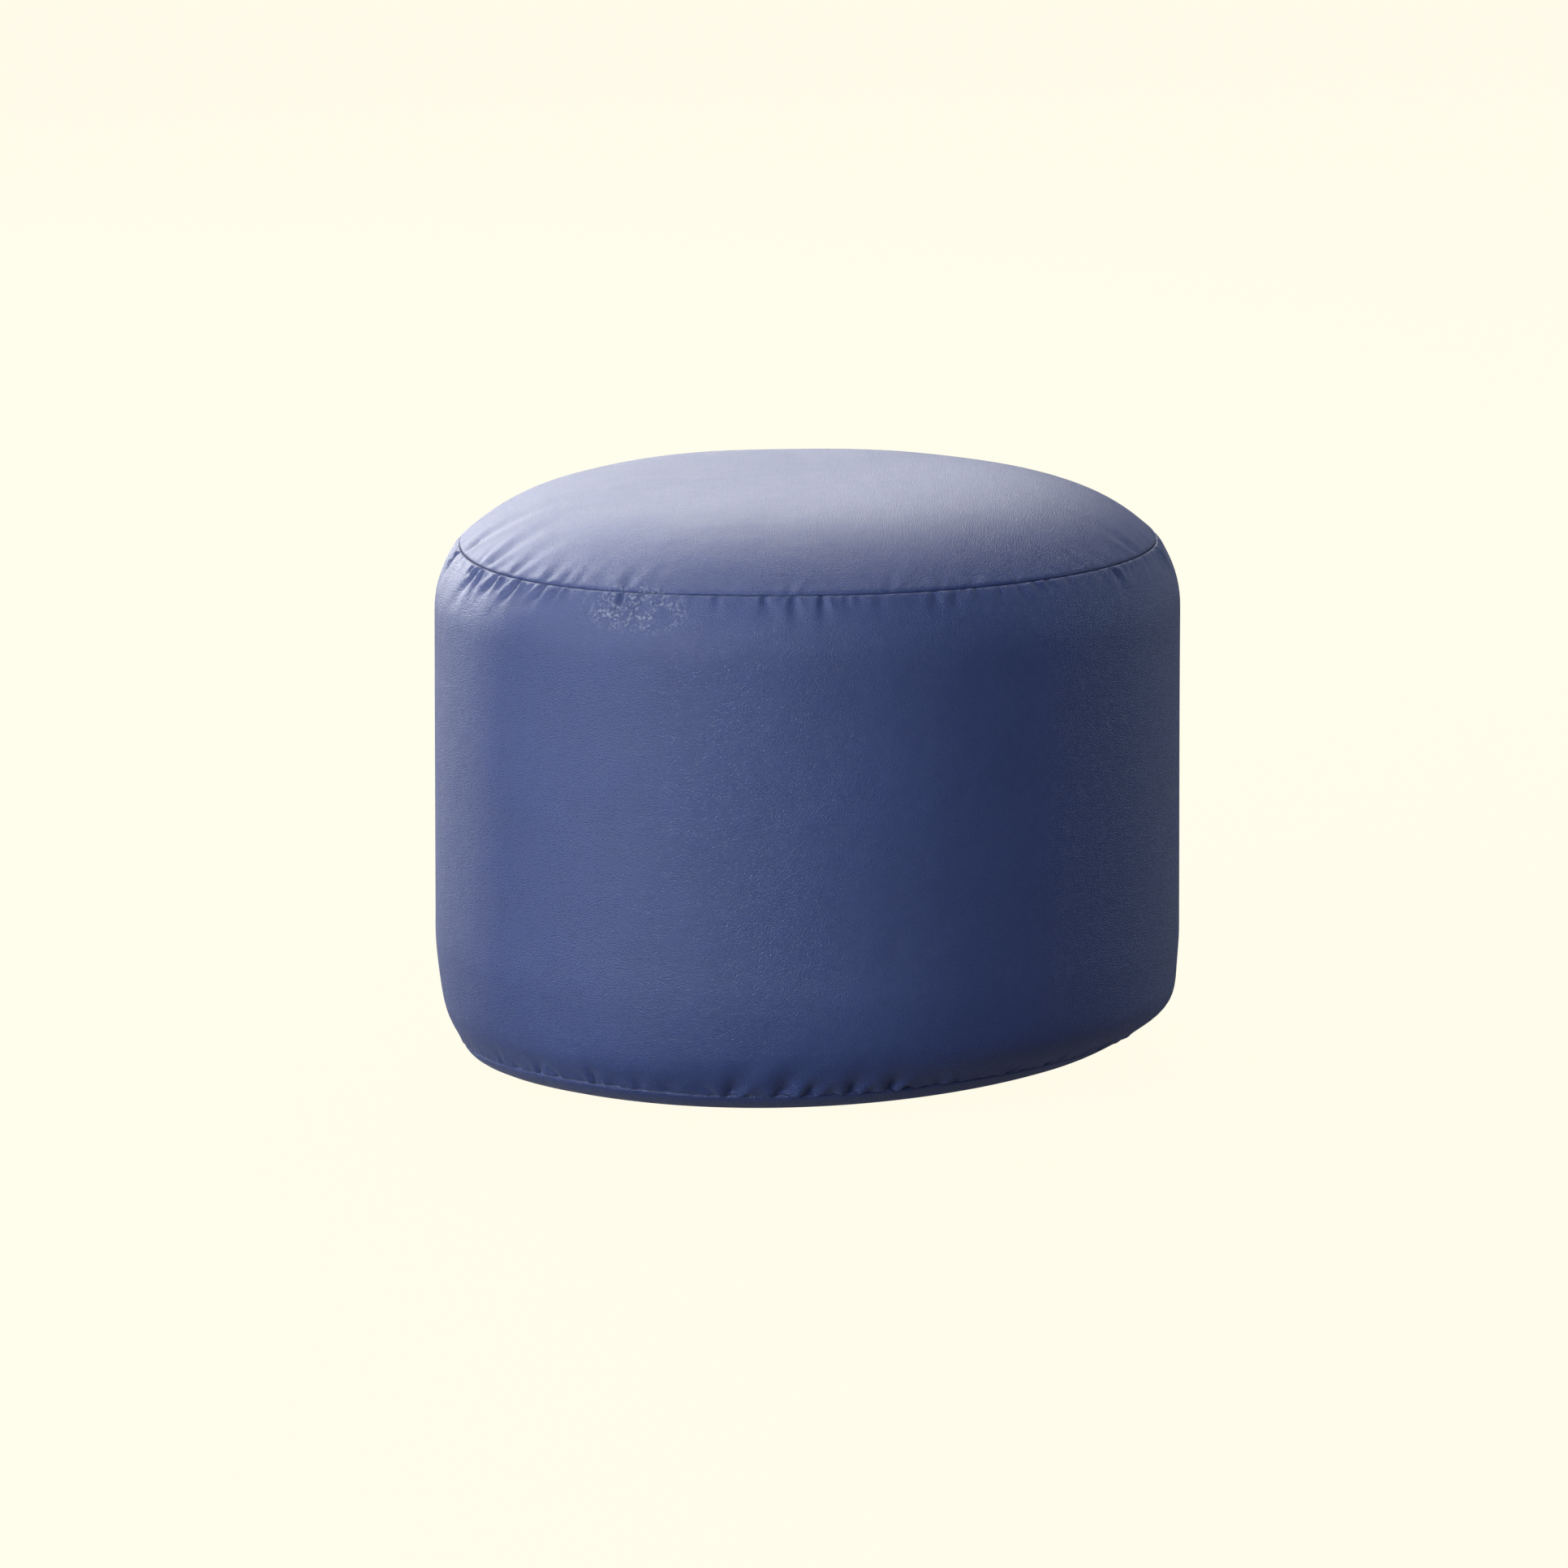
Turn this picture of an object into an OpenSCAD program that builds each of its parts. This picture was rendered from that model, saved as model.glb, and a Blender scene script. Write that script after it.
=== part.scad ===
// Round drum floor cushion. A leather-look cover, sewn from a top panel, a side band
// and a base panel, holds a bead-filled liner. A coil zip in the side band's back seam
// lets the liner out.
// The origin is the centre of the flat base. +Z is up, the front faces -Y, and the zip
// stands at +Y.

/* [Cushion] */
// Width across the side band
width = 500; // [360:5:640]
// Height from the floor to the crown of the top
height = 394; // [320:2:480]
// Rise of the crown above the top seam
crown_rise = 44; // [24:1:56]
// How steeply the crown falls away near its edge
crown_power = 4.25; // [2:0.25:6]
// How far the top seam lies inside the side band's face
seam_inset = 16; // [10:1:24]
// Height of the shoulder between the straight side and the top seam
shoulder_height = 39; // [24:1:60]
// How late the shoulder turns inwards
shoulder_power = 1.4; // [1.2:0.1:2]
// Height of the rounded lower corner
corner_height = 90; // [60:1:110]
// How far the flat base lies inside the side band's face
corner_inset = 70; // [40:1:90]
// Where the base seam lies on the lower corner, in degrees down from the straight side
base_seam_angle = 60; // [50:1:70]

/* [Cover] */
// Thickness of the backed leather cloth
cover_t = 1.2; // [0.8:0.1:1.6]
// Width of the turned-in seam allowances
allowance = 10; // [6:1:14]
// Air between two layers of cloth
ply_gap = 0.1; // [0.05:0.05:0.3]
// Width of the closing seam between the side band's two ends
closing_gap = 0.4; // [0.2:0.1:1]
// Radius of the seam thread
thread_r = 0.35; // [0.2:0.05:0.5]
// Air between a thread and the cloth beside it
thread_gap = 0.03; // [0.01:0.01:0.1]

/* [Liner] */
// Thickness of the liner cloth
liner_t = 0.6; // [0.4:0.1:1]
// Air between the liner and the deepest piece of the cover
liner_gap = 0.4; // [0.3:0.1:2]
// Length of the liner's seam allowances
liner_allowance = 8; // [4:1:12]
// Air between the beads and the liner
bead_gap = 0.1; // [0.05:0.05:0.5]

/* [Zip] */
// Height of the zip's opening above the rounded corner
zip_rise = 8; // [6:1:20]
// Distance of the zip's opening below the shoulder
zip_drop = 23; // [16:1:60]
// Width of the two closed coils together
chain_width = 6; // [5:0.5:8]
// Height of a coil above its tape
coil_height = 2.2; // [1.8:0.1:2.6]
// Gap between the two coils, which the slider's post runs in
post_gap = 1.2; // [1:0.1:1.6]
// Width of each tape
tape_width = 15; // [12:0.5:18]
// Thickness of the tapes
tape_t = 0.5; // [0.4:0.1:0.8]
// How far the tapes run past each end of the opening
tape_tail = 12; // [8:1:14]
// Length of an end stop
stop_length = 3; // [2:0.5:5]
// Distance from the edge of the opening to its row of stitches
stitch_inset = 3; // [2:0.5:5]

/* [Slider] */
// Length of the slider's body along the zip
slider_length = 14; // [12:0.5:18]
// Thickness of the slider's two plates and its side walls
plate_t = 1.1; // [0.9:0.1:1.3]
// Air between the slider and the zip
slide_gap = 0.25; // [0.15:0.05:0.4]
// Air between the slider and the edge of the opening
window_gap = 1.4; // [0.8:0.1:2]
// Thickness of the post between the plates
post_t = 0.7; // [0.5:0.1:0.9]
// Length of the bridge that holds the tab
bridge_length = 7.4; // [6:0.2:9]
// Width of the bridge
bridge_width = 2.2; // [1.8:0.1:3]
// Thickness of the bridge over the tab's crossbar
bridge_t = 0.9; // [0.7:0.1:1.3]

/* [Pull tab] */
// Length of the tab from its crossbar to its end
tab_length = 24; // [16:1:32]
// Width of the tab
tab_width = 7; // [6.5:0.5:9]
// Thickness of the tab
tab_t = 1.3; // [1:0.1:1.6]
// Radius of the tab's crossbar
crossbar_r = 0.7; // [0.5:0.05:0.8]
// Air round the crossbar inside the bridge
crossbar_gap = 0.35; // [0.25:0.05:0.5]
// Length of the window in the tab, which the bridge stands in
tab_window = 6.5; // [6:0.5:9]

/* [Hidden] */

$fn = 120;
CURVE_STEPS = 10;        // points along each curved stretch of an outline
POST_LENGTH = 3;         // length of the slider's post
POST_SETBACK = 1;        // distance of the post from the slider's lower end
TAB_CORNER = 2;          // radius of the tab's lower corners
OUTLINE_CHAMFER = 1.6;   // size of the slider's cut corners
SEAM_CLEAR = 1;          // distance that a back seam's thread keeps from hems and tapes
EPS = 0.01;              // overlap that joins two shapes of one solid

radius = width / 2;
seam_z = height - crown_rise;
seam_r = radius - seam_inset;
shoulder_z = seam_z - shoulder_height;
rest_r = radius - corner_inset;

// Depths below the cover's outer face
hem_depth = 2 * cover_t;                       // a folded hem is two layers
skirt_depth = hem_depth + ply_gap;             // outer face of a panel's turned-in edge
tape_depth = hem_depth + ply_gap;              // outer face of a zip tape
plate_depth = tape_depth + tape_t + slide_gap; // outer face of the slider's back plate
deepest = max(skirt_depth + cover_t, plate_depth + plate_t);
liner_depth = deepest + liner_gap;
liner_hem = 2 * liner_t;
liner_skirt = liner_hem + ply_gap;
bead_depth = liner_depth + liner_skirt + liner_t + bead_gap;

// Distances from the axis of the zip's pieces, which stand at the back
tape_y = radius - tape_depth;
coil_y = tape_y + coil_height;
plate_y = coil_y + slide_gap;                  // inner face of the slider's front plate
plate_top_y = plate_y + plate_t;
crossbar_y = plate_top_y + crossbar_gap + crossbar_r;
bridge_top_y = crossbar_y + crossbar_r + crossbar_gap + bridge_t;

wall_in_x = chain_width / 2 + slide_gap;       // inner face of the slider's side walls
slider_half = wall_in_x + plate_t;
window_half = slider_half + window_gap;
zip_low = corner_height + zip_rise;
zip_high = shoulder_z - zip_drop;
tape_low = zip_low - tape_tail;
tape_high = zip_high + tape_tail;
chain_low = zip_low + stop_length;
chain_high = zip_high - stop_length;
slider_low = chain_low + slide_gap;            // lower end of the slider when shut
slider_mid = slider_low + slider_length / 2;

// A point of a curve, moved inwards by depth along the curve's normal
function inward(point, normal, depth) = point - normal / norm(normal) * depth;

// The crown of the top, from 0 at its centre to 1 at the top seam
function crown_point(s, depth) = inward(
    [seam_r * s, seam_z + crown_rise * (1 - pow(s, crown_power))],
    [crown_rise * crown_power * pow(s, crown_power - 1), seam_r],
    depth);

// The shoulder, from 0 at the straight side to 1 at the top seam
function shoulder_point(s, depth) = inward(
    [radius - seam_inset * pow(s, shoulder_power), shoulder_z + shoulder_height * s],
    [shoulder_height, seam_inset * shoulder_power * pow(s, shoulder_power - 1)],
    depth);

// The lower corner, from 0 degrees at the straight side to 90 at the flat base
function corner_point(angle, depth) = inward(
    [rest_r + corner_inset * cos(angle), corner_height * (1 - sin(angle))],
    [corner_height * cos(angle), -corner_inset * sin(angle)],
    depth);

// Even steps from one value to another, both included
function steps(from, to, count = CURVE_STEPS) =
    [for (i = [0:count]) from + (to - from) * i / count];

function crown_curve(from, to, depth) = [for (s = steps(from, to)) crown_point(s, depth)];
function shoulder_curve(from, to, depth) =
    [for (s = steps(from, to)) shoulder_point(s, depth)];
function corner_curve(from, to, depth) =
    [for (a = steps(from, to)) corner_point(a, depth)];

// How far one degree runs on the lower corner, at the base seam
per_degree = PI / 180
    * norm([corner_inset * sin(base_seam_angle), corner_height * cos(base_seam_angle)]);

// Where an allowance of a given length ends on the shoulder and on the lower corner
function shoulder_back(length) = 1 - length / norm([seam_inset, shoulder_height]);
function corner_back(length) = base_seam_angle - length / per_degree;

module band_of_cloth(top_hem, base_hem, depth, hem, thickness) {
    // A wall of cloth between the two seams, thicker where its edges are folded over
    rotate_extrude() polygon(concat(
        corner_curve(base_seam_angle, 0, depth),
        shoulder_curve(0, 1, depth),
        shoulder_curve(1, top_hem, depth + hem),
        shoulder_curve(top_hem, 0, depth + thickness),
        corner_curve(0, base_hem, depth + thickness),
        corner_curve(base_hem, base_seam_angle, depth + hem)));
}

module crowned_panel(skirt_end, depth, skirt, thickness) {
    // A crowned disc of cloth whose edge turns down inside the side band
    edge = (shoulder_point(1, depth + skirt)[0]) / seam_r;
    rotate_extrude() polygon(concat(
        crown_curve(0, edge, depth),
        shoulder_curve(1, skirt_end, depth + skirt),
        shoulder_curve(skirt_end, 1, depth + skirt + thickness),
        crown_curve(edge - thickness / seam_r, 0, depth + thickness)));
}

module flat_panel(skirt_end, depth, skirt, thickness) {
    // A flat disc of cloth whose rim rises on the lower corner and turns up inside
    // the side band
    rim = base_seam_angle + (skirt + 2 * thread_r) / per_degree;
    rotate_extrude() polygon(concat(
        [[0, depth]],
        corner_curve(90, rim, depth),
        corner_curve(base_seam_angle, skirt_end, depth + skirt),
        corner_curve(skirt_end, base_seam_angle, depth + skirt + thickness),
        corner_curve(rim + thickness / per_degree, 90, depth + thickness),
        [[0, depth + thickness]]));
}

module thread_ring(foot, along) {
    // One round of seam thread, on a folded edge's foot and just clear of it
    rotate_extrude() translate(inward(foot, along, thread_r + thread_gap))
        circle(r = thread_r, $fn = 24);
}

module top_thread_ring(depth, hem) {
    thread_ring(shoulder_point(1, depth + hem / 2),
        [seam_inset * shoulder_power, -shoulder_height]);
}

module base_thread_ring(depth, hem) {
    thread_ring(corner_point(base_seam_angle, depth + hem / 3),
        [corner_inset * sin(base_seam_angle), corner_height * cos(base_seam_angle)]);
}

module back_run(near, far) {
    // A run of thread behind the back seam, between two outlines in the Y-Z plane
    translate([-thread_r, 0, 0]) rotate([90, 0, 90]) linear_extrude(2 * thread_r)
        polygon(concat(near, [for (i = [len(far) - 1:-1:0]) far[i]]));
}

module facing_back(from_y, to_y) {
    // Stands a flat X-Z drawing up at the back, between two distances from the axis
    translate([0, to_y, 0]) rotate([90, 0, 0]) linear_extrude(to_y - from_y) children();
}

module back_strip(from_x, to_x, inner_r, outer_r, low, high) {
    // A strip of the cylinder's wall at the back
    first = acos(max(from_x, to_x) / outer_r);
    last = acos(min(from_x, to_x) / outer_r);
    translate([0, 0, low]) rotate_extrude(start = first, angle = last - first)
        translate([inner_r, 0]) square([outer_r - inner_r, high - low]);
}

module top_panel() {
    color("midnightblue")
        crowned_panel(shoulder_back(allowance), 0, skirt_depth, cover_t);
}

module side_band() {
    hem_r = radius - hem_depth;
    color("darkslateblue") difference() {
        union() {
            band_of_cloth(shoulder_back(allowance), corner_back(allowance),
                0, hem_depth, cover_t);
            // The band's two ends, each folded back on itself
            back_strip(-window_half - allowance, window_half + allowance,
                hem_r, radius - cover_t / 2, corner_height, shoulder_z);
        }
        // The closing seam between the ends, and the zip's window in it
        translate([-closing_gap / 2, 0, -height])
            cube([closing_gap, width, 3 * height]);
        translate([-window_half, 0, zip_low])
            cube([2 * window_half, width, zip_high - zip_low]);
    }
}

module base_panel() {
    color("midnightblue")
        flat_panel(corner_back(allowance), 0, skirt_depth, cover_t);
}

module top_seam_thread() {
    color("navy") top_thread_ring(0, hem_depth);
}

module base_seam_thread() {
    color("navy") base_thread_ring(0, hem_depth);
}

// The closing seam's thread below and above the zip's tapes, at one depth
thread_low_end = tape_low - SEAM_CLEAR;
thread_high_end = tape_high + SEAM_CLEAR;
function thread_below(depth) = concat(
    corner_curve(corner_back(allowance + SEAM_CLEAR),
        asin(max(0, 1 - thread_low_end / corner_height)), depth),
    thread_low_end > corner_height ? [[radius - depth, thread_low_end]] : []);
function thread_above(depth) = concat(
    [[radius - depth, thread_high_end]],
    shoulder_curve(0, shoulder_back(allowance + SEAM_CLEAR), depth));

module closing_seam_thread() {
    // Runs behind the closing seam, above and below the zip
    near = hem_depth + thread_gap;
    far = near + 2 * thread_r;
    color("navy") {
        back_run(thread_below(near), thread_below(far));
        back_run(thread_above(near), thread_above(far));
    }
}

module zip_tape(side) {
    color("darkblue")
        back_strip(side * post_gap / 2, side * (post_gap / 2 + tape_width),
            tape_y - tape_t, tape_y, tape_low, tape_high);
}

module zip_tape_left() { zip_tape(-1); }
module zip_tape_right() { zip_tape(1); }

module zip_coil(side) {
    // A round-backed bead, flat on its tape, between the end stops
    coil_w = (chain_width - post_gap) / 2;
    middle = side * (post_gap + coil_w) / 2;
    crest = coil_height - ply_gap - coil_w / 2;
    color("royalblue") translate([middle, tape_y + ply_gap, chain_low])
        linear_extrude(chain_high - chain_low) intersection() {
            union() {
                translate([-coil_w / 2, 0]) square([coil_w, crest]);
                translate([0, crest]) circle(d = coil_w, $fn = 32);
            }
            translate([-coil_w, 0]) square([2 * coil_w, coil_height]);
        }
}

module zip_coil_left() { zip_coil(-1); }
module zip_coil_right() { zip_coil(1); }

module end_stop(from_x, to_x, low) {
    translate([from_x, tape_y + ply_gap, low + ply_gap])
        cube([to_x - from_x, coil_height - ply_gap, stop_length - 2 * ply_gap]);
}

module zip_lower_stops() {
    // A crimped stop on each tape, where the slider rests when the zip is shut
    color("silver") {
        end_stop(-chain_width / 2, -post_gap / 2, zip_low);
        end_stop(post_gap / 2, chain_width / 2, zip_low);
    }
}

module zip_upper_stop() {
    // One stop across both tapes, where the slider ends when the zip is open
    color("silver") end_stop(-chain_width / 2, chain_width / 2, chain_high);
}

module slider_outline() {
    // The plates' outline, wider where the coils enter at the lower end
    wide = slider_half;
    narrow = wall_in_x + plate_t / 2;
    half = slider_length / 2;
    chamfer = OUTLINE_CHAMFER;
    polygon([
        [-narrow, half - chamfer], [-narrow + chamfer, half],
        [narrow - chamfer, half], [narrow, half - chamfer],
        [wide, -half + 2 * chamfer], [wide - chamfer, -half],
        [-wide + chamfer, -half], [-wide, -half + 2 * chamfer]]);
}

module slider_bridge() {
    // A staple over the front plate, open from side to side for the crossbar
    opening = bridge_length - 2 * bridge_t;
    translate([-bridge_width / 2, plate_top_y - EPS, slider_mid - bridge_length / 2])
        difference() {
            cube([bridge_width, bridge_top_y - plate_top_y + EPS, bridge_length]);
            translate([-1, 0, bridge_t])
                cube([bridge_width + 2, crossbar_y + crossbar_r + crossbar_gap - plate_top_y,
                    opening]);
        }
}

module zip_slider() {
    back_y = tape_y - tape_t - slide_gap;
    color("silver") {
        translate([0, 0, slider_mid]) {
            // Front plate, back plate and the post between them
            facing_back(plate_y, plate_top_y) slider_outline();
            facing_back(back_y - plate_t, back_y) slider_outline();
            translate([-post_t / 2, back_y - EPS, POST_SETBACK - slider_length / 2])
                cube([post_t, plate_y - back_y + 2 * EPS, POST_LENGTH]);
            // Side walls, which stop short of the tapes
            facing_back(tape_y + slide_gap, plate_y + EPS) difference() {
                slider_outline();
                translate([-wall_in_x, -slider_length])
                    square([2 * wall_in_x, 2 * slider_length]);
            }
        }
        slider_bridge();
    }
}

module zip_pull_tab() {
    // Hangs down along the zip from the crossbar in the slider's bridge
    half = tab_width / 2;
    window_side = bridge_width / 2 + crossbar_gap;
    foot = TAB_CORNER;
    color("silver") translate([0, crossbar_y, slider_mid]) {
        translate([-half, 0, 0]) rotate([0, 90, 0])
            cylinder(r = crossbar_r, h = tab_width, $fn = 32);
        facing_back(-tab_t / 2, tab_t / 2) difference() {
            union() {
                translate([-half, foot - tab_length]) square([tab_width, tab_length - foot]);
                translate([foot - half, -tab_length]) square([tab_width - 2 * foot, foot + 1]);
                for (side = [-1, 1])
                    translate([side * (half - foot), foot - tab_length])
                        circle(r = foot, $fn = 32);
            }
            translate([-window_side, -tab_window]) square([2 * window_side, tab_window + 1]);
        }
    }
}

module zip_thread(side) {
    // A row of stitches on the side band, beside the zip's window
    x = side * (window_half + stitch_inset);
    y = sqrt(radius * radius - x * x) + thread_r + thread_gap;
    color("navy") translate([x, y, zip_low - stitch_inset])
        cylinder(r = thread_r, h = zip_high - zip_low + 2 * stitch_inset, $fn = 24);
}

module zip_thread_left() { zip_thread(-1); }
module zip_thread_right() { zip_thread(1); }

module zip_end_tacks() {
    // A bar of close stitches across the closing seam at each end of the window
    reach = window_half + stitch_inset - 1;
    y = radius + thread_r + thread_gap;
    color("navy") for (z = [zip_low - stitch_inset, zip_high + stitch_inset])
        translate([-reach, y, z]) rotate([0, 90, 0])
            cylinder(r = thread_r, h = 2 * reach, $fn = 24);
}

module liner_top() {
    color("gainsboro")
        crowned_panel(shoulder_back(liner_allowance), liner_depth, liner_skirt, liner_t);
}

module liner_wall() {
    color("whitesmoke") difference() {
        band_of_cloth(shoulder_back(liner_allowance), corner_back(liner_allowance),
            liner_depth, liner_hem, liner_t);
        translate([-closing_gap / 2, 0, -height])
            cube([closing_gap, width, 3 * height]);
    }
}

module liner_base() {
    color("gainsboro")
        flat_panel(corner_back(liner_allowance), liner_depth, liner_skirt, liner_t);
}

module liner_top_thread() {
    color("silver") top_thread_ring(liner_depth, liner_hem);
}

module liner_base_thread() {
    color("silver") base_thread_ring(liner_depth, liner_hem);
}

function liner_back(depth) = concat(
    corner_curve(corner_back(liner_allowance + SEAM_CLEAR), 0, depth),
    shoulder_curve(0, shoulder_back(liner_allowance + SEAM_CLEAR), depth));

module liner_side_thread() {
    // Runs behind the liner's closing seam from its lower hem to its upper hem
    near = liner_depth + liner_t + thread_gap;
    color("silver") back_run(liner_back(near), liner_back(near + 2 * thread_r));
}

module bead_fill() {
    // The loose beads, as one closed solid that fills the liner
    edge = shoulder_point(1, 2 * bead_depth)[0] / seam_r;
    color("white") rotate_extrude() polygon(concat(
        [[0, bead_depth]],
        corner_curve(90, 0, bead_depth),
        shoulder_curve(0, 1, bead_depth),
        crown_curve(edge, 0, bead_depth)));
}

top_panel();
side_band();
base_panel();
top_seam_thread();
base_seam_thread();
closing_seam_thread();
zip_tape_left();
zip_tape_right();
zip_coil_left();
zip_coil_right();
zip_lower_stops();
zip_upper_stop();
zip_slider();
zip_pull_tab();
zip_thread_left();
zip_thread_right();
zip_end_tacks();
liner_top();
liner_wall();
liner_base();
liner_top_thread();
liner_base_thread();
liner_side_thread();
bead_fill();
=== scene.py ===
"""A round drum floor cushion in navy leather cloth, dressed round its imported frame."""

import logging
import math
from dataclasses import dataclass, field
from enum import Enum
from typing import Any

import bmesh
import bpy
import numpy as np
from mathutils import Matrix, Vector


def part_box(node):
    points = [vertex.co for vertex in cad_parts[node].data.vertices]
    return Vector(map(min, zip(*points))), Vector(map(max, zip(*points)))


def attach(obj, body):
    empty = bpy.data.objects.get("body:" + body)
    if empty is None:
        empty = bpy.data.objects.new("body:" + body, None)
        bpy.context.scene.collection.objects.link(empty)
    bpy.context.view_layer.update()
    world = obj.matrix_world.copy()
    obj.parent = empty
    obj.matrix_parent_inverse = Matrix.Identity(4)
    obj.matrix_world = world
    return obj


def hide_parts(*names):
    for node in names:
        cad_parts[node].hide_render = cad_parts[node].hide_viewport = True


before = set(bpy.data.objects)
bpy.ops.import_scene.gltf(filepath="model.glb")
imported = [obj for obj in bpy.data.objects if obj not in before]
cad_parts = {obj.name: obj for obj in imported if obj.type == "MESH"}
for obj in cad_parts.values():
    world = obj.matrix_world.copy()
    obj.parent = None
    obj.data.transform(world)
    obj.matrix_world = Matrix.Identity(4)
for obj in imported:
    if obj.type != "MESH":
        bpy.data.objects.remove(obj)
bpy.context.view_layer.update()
log = logging.getLogger("floor_cushion")

MM = 0.001
FULL_TURN = 2 * math.pi
COLOUR_INPUTS = (0, 6, 7)  # a Mix node's factor and two colours
COLOUR_RESULT = 2  # a Mix node's mixed colour
WAVE_WIDTH = math.pi / 10  # the width in metres of a Wave node's band at scale 1
TOUCHING = 1e-6  # points closer than this are one
SHARP = 1.0  # an edge that turns by more than this many radians is rounded
WELD = 0.01 * MM  # copies of a shape meet within this

Colour = tuple[float, float, float]
WHITE: Colour = (0.72, 0.71, 0.68)


class Body(Enum):
    """The frame's bodies, which every piece rides on one of."""

    CUSHION = "cushion"
    SLIDER = "slider"
    PULL_TAB = "pull_tab"


class Slot(Enum):
    """The record's material slots."""

    LEATHER = "cover_leather"
    THREAD = "cover_thread"
    TAPE = "zip_tape"
    COIL = "zip_coil"
    METAL = "zip_metal"
    LINER = "liner_cloth"
    LINER_THREAD = "liner_thread"
    BEADS = "beads"


# --------------------------------------------------------------------------- shader maths


class Socket:
    """A node's output that can be used in arithmetic, which adds Math nodes."""

    def __init__(self, tree: bpy.types.NodeTree, output: bpy.types.NodeSocket) -> None:
        """Wraps an output socket.

        Args:
            tree: The node tree that holds the socket.
            output: The output socket.
        """
        self.tree = tree
        self.output = output

    def maths(self, operation: str, first: Any, second: Any = 0.0) -> "Socket":
        """Adds one Math node.

        Args:
            operation: The Math node's operation.
            first: The first number or socket.
            second: The second number or socket.

        Returns:
            The node's output.
        """
        node = self.tree.nodes.new("ShaderNodeMath")
        node.operation = operation
        for entry, value in zip(node.inputs, (first, second)):
            feed(self.tree, entry, value)
        return Socket(self.tree, node.outputs[0])

    def __add__(self, other: Any) -> "Socket":
        """Adds."""
        return self.maths("ADD", self, other)

    __radd__ = __add__

    def __mul__(self, other: Any) -> "Socket":
        """Multiplies."""
        return self.maths("MULTIPLY", self, other)

    __rmul__ = __mul__

    def __sub__(self, other: Any) -> "Socket":
        """Subtracts."""
        return self.maths("SUBTRACT", self, other)

    def __rsub__(self, other: Any) -> "Socket":
        """Subtracts from a number."""
        return self.maths("SUBTRACT", other, self)

    def __pow__(self, other: Any) -> "Socket":
        """Raises to a power."""
        return self.maths("POWER", self, other)

    def clamped(self) -> "Socket":
        """Keeps the value between 0 and 1."""
        return self.maths("MINIMUM", self.maths("MAXIMUM", self, 0.0), 1.0)


def feed(tree: bpy.types.NodeTree, entry: bpy.types.NodeSocket, value: Any) -> None:
    """Sets or links one input.

    Args:
        tree: The node tree that holds it.
        entry: The input socket.
        value: A value, or a Socket to link.
    """
    if isinstance(value, Socket):
        tree.links.new(value.output, entry)
    else:
        entry.default_value = value


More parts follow.
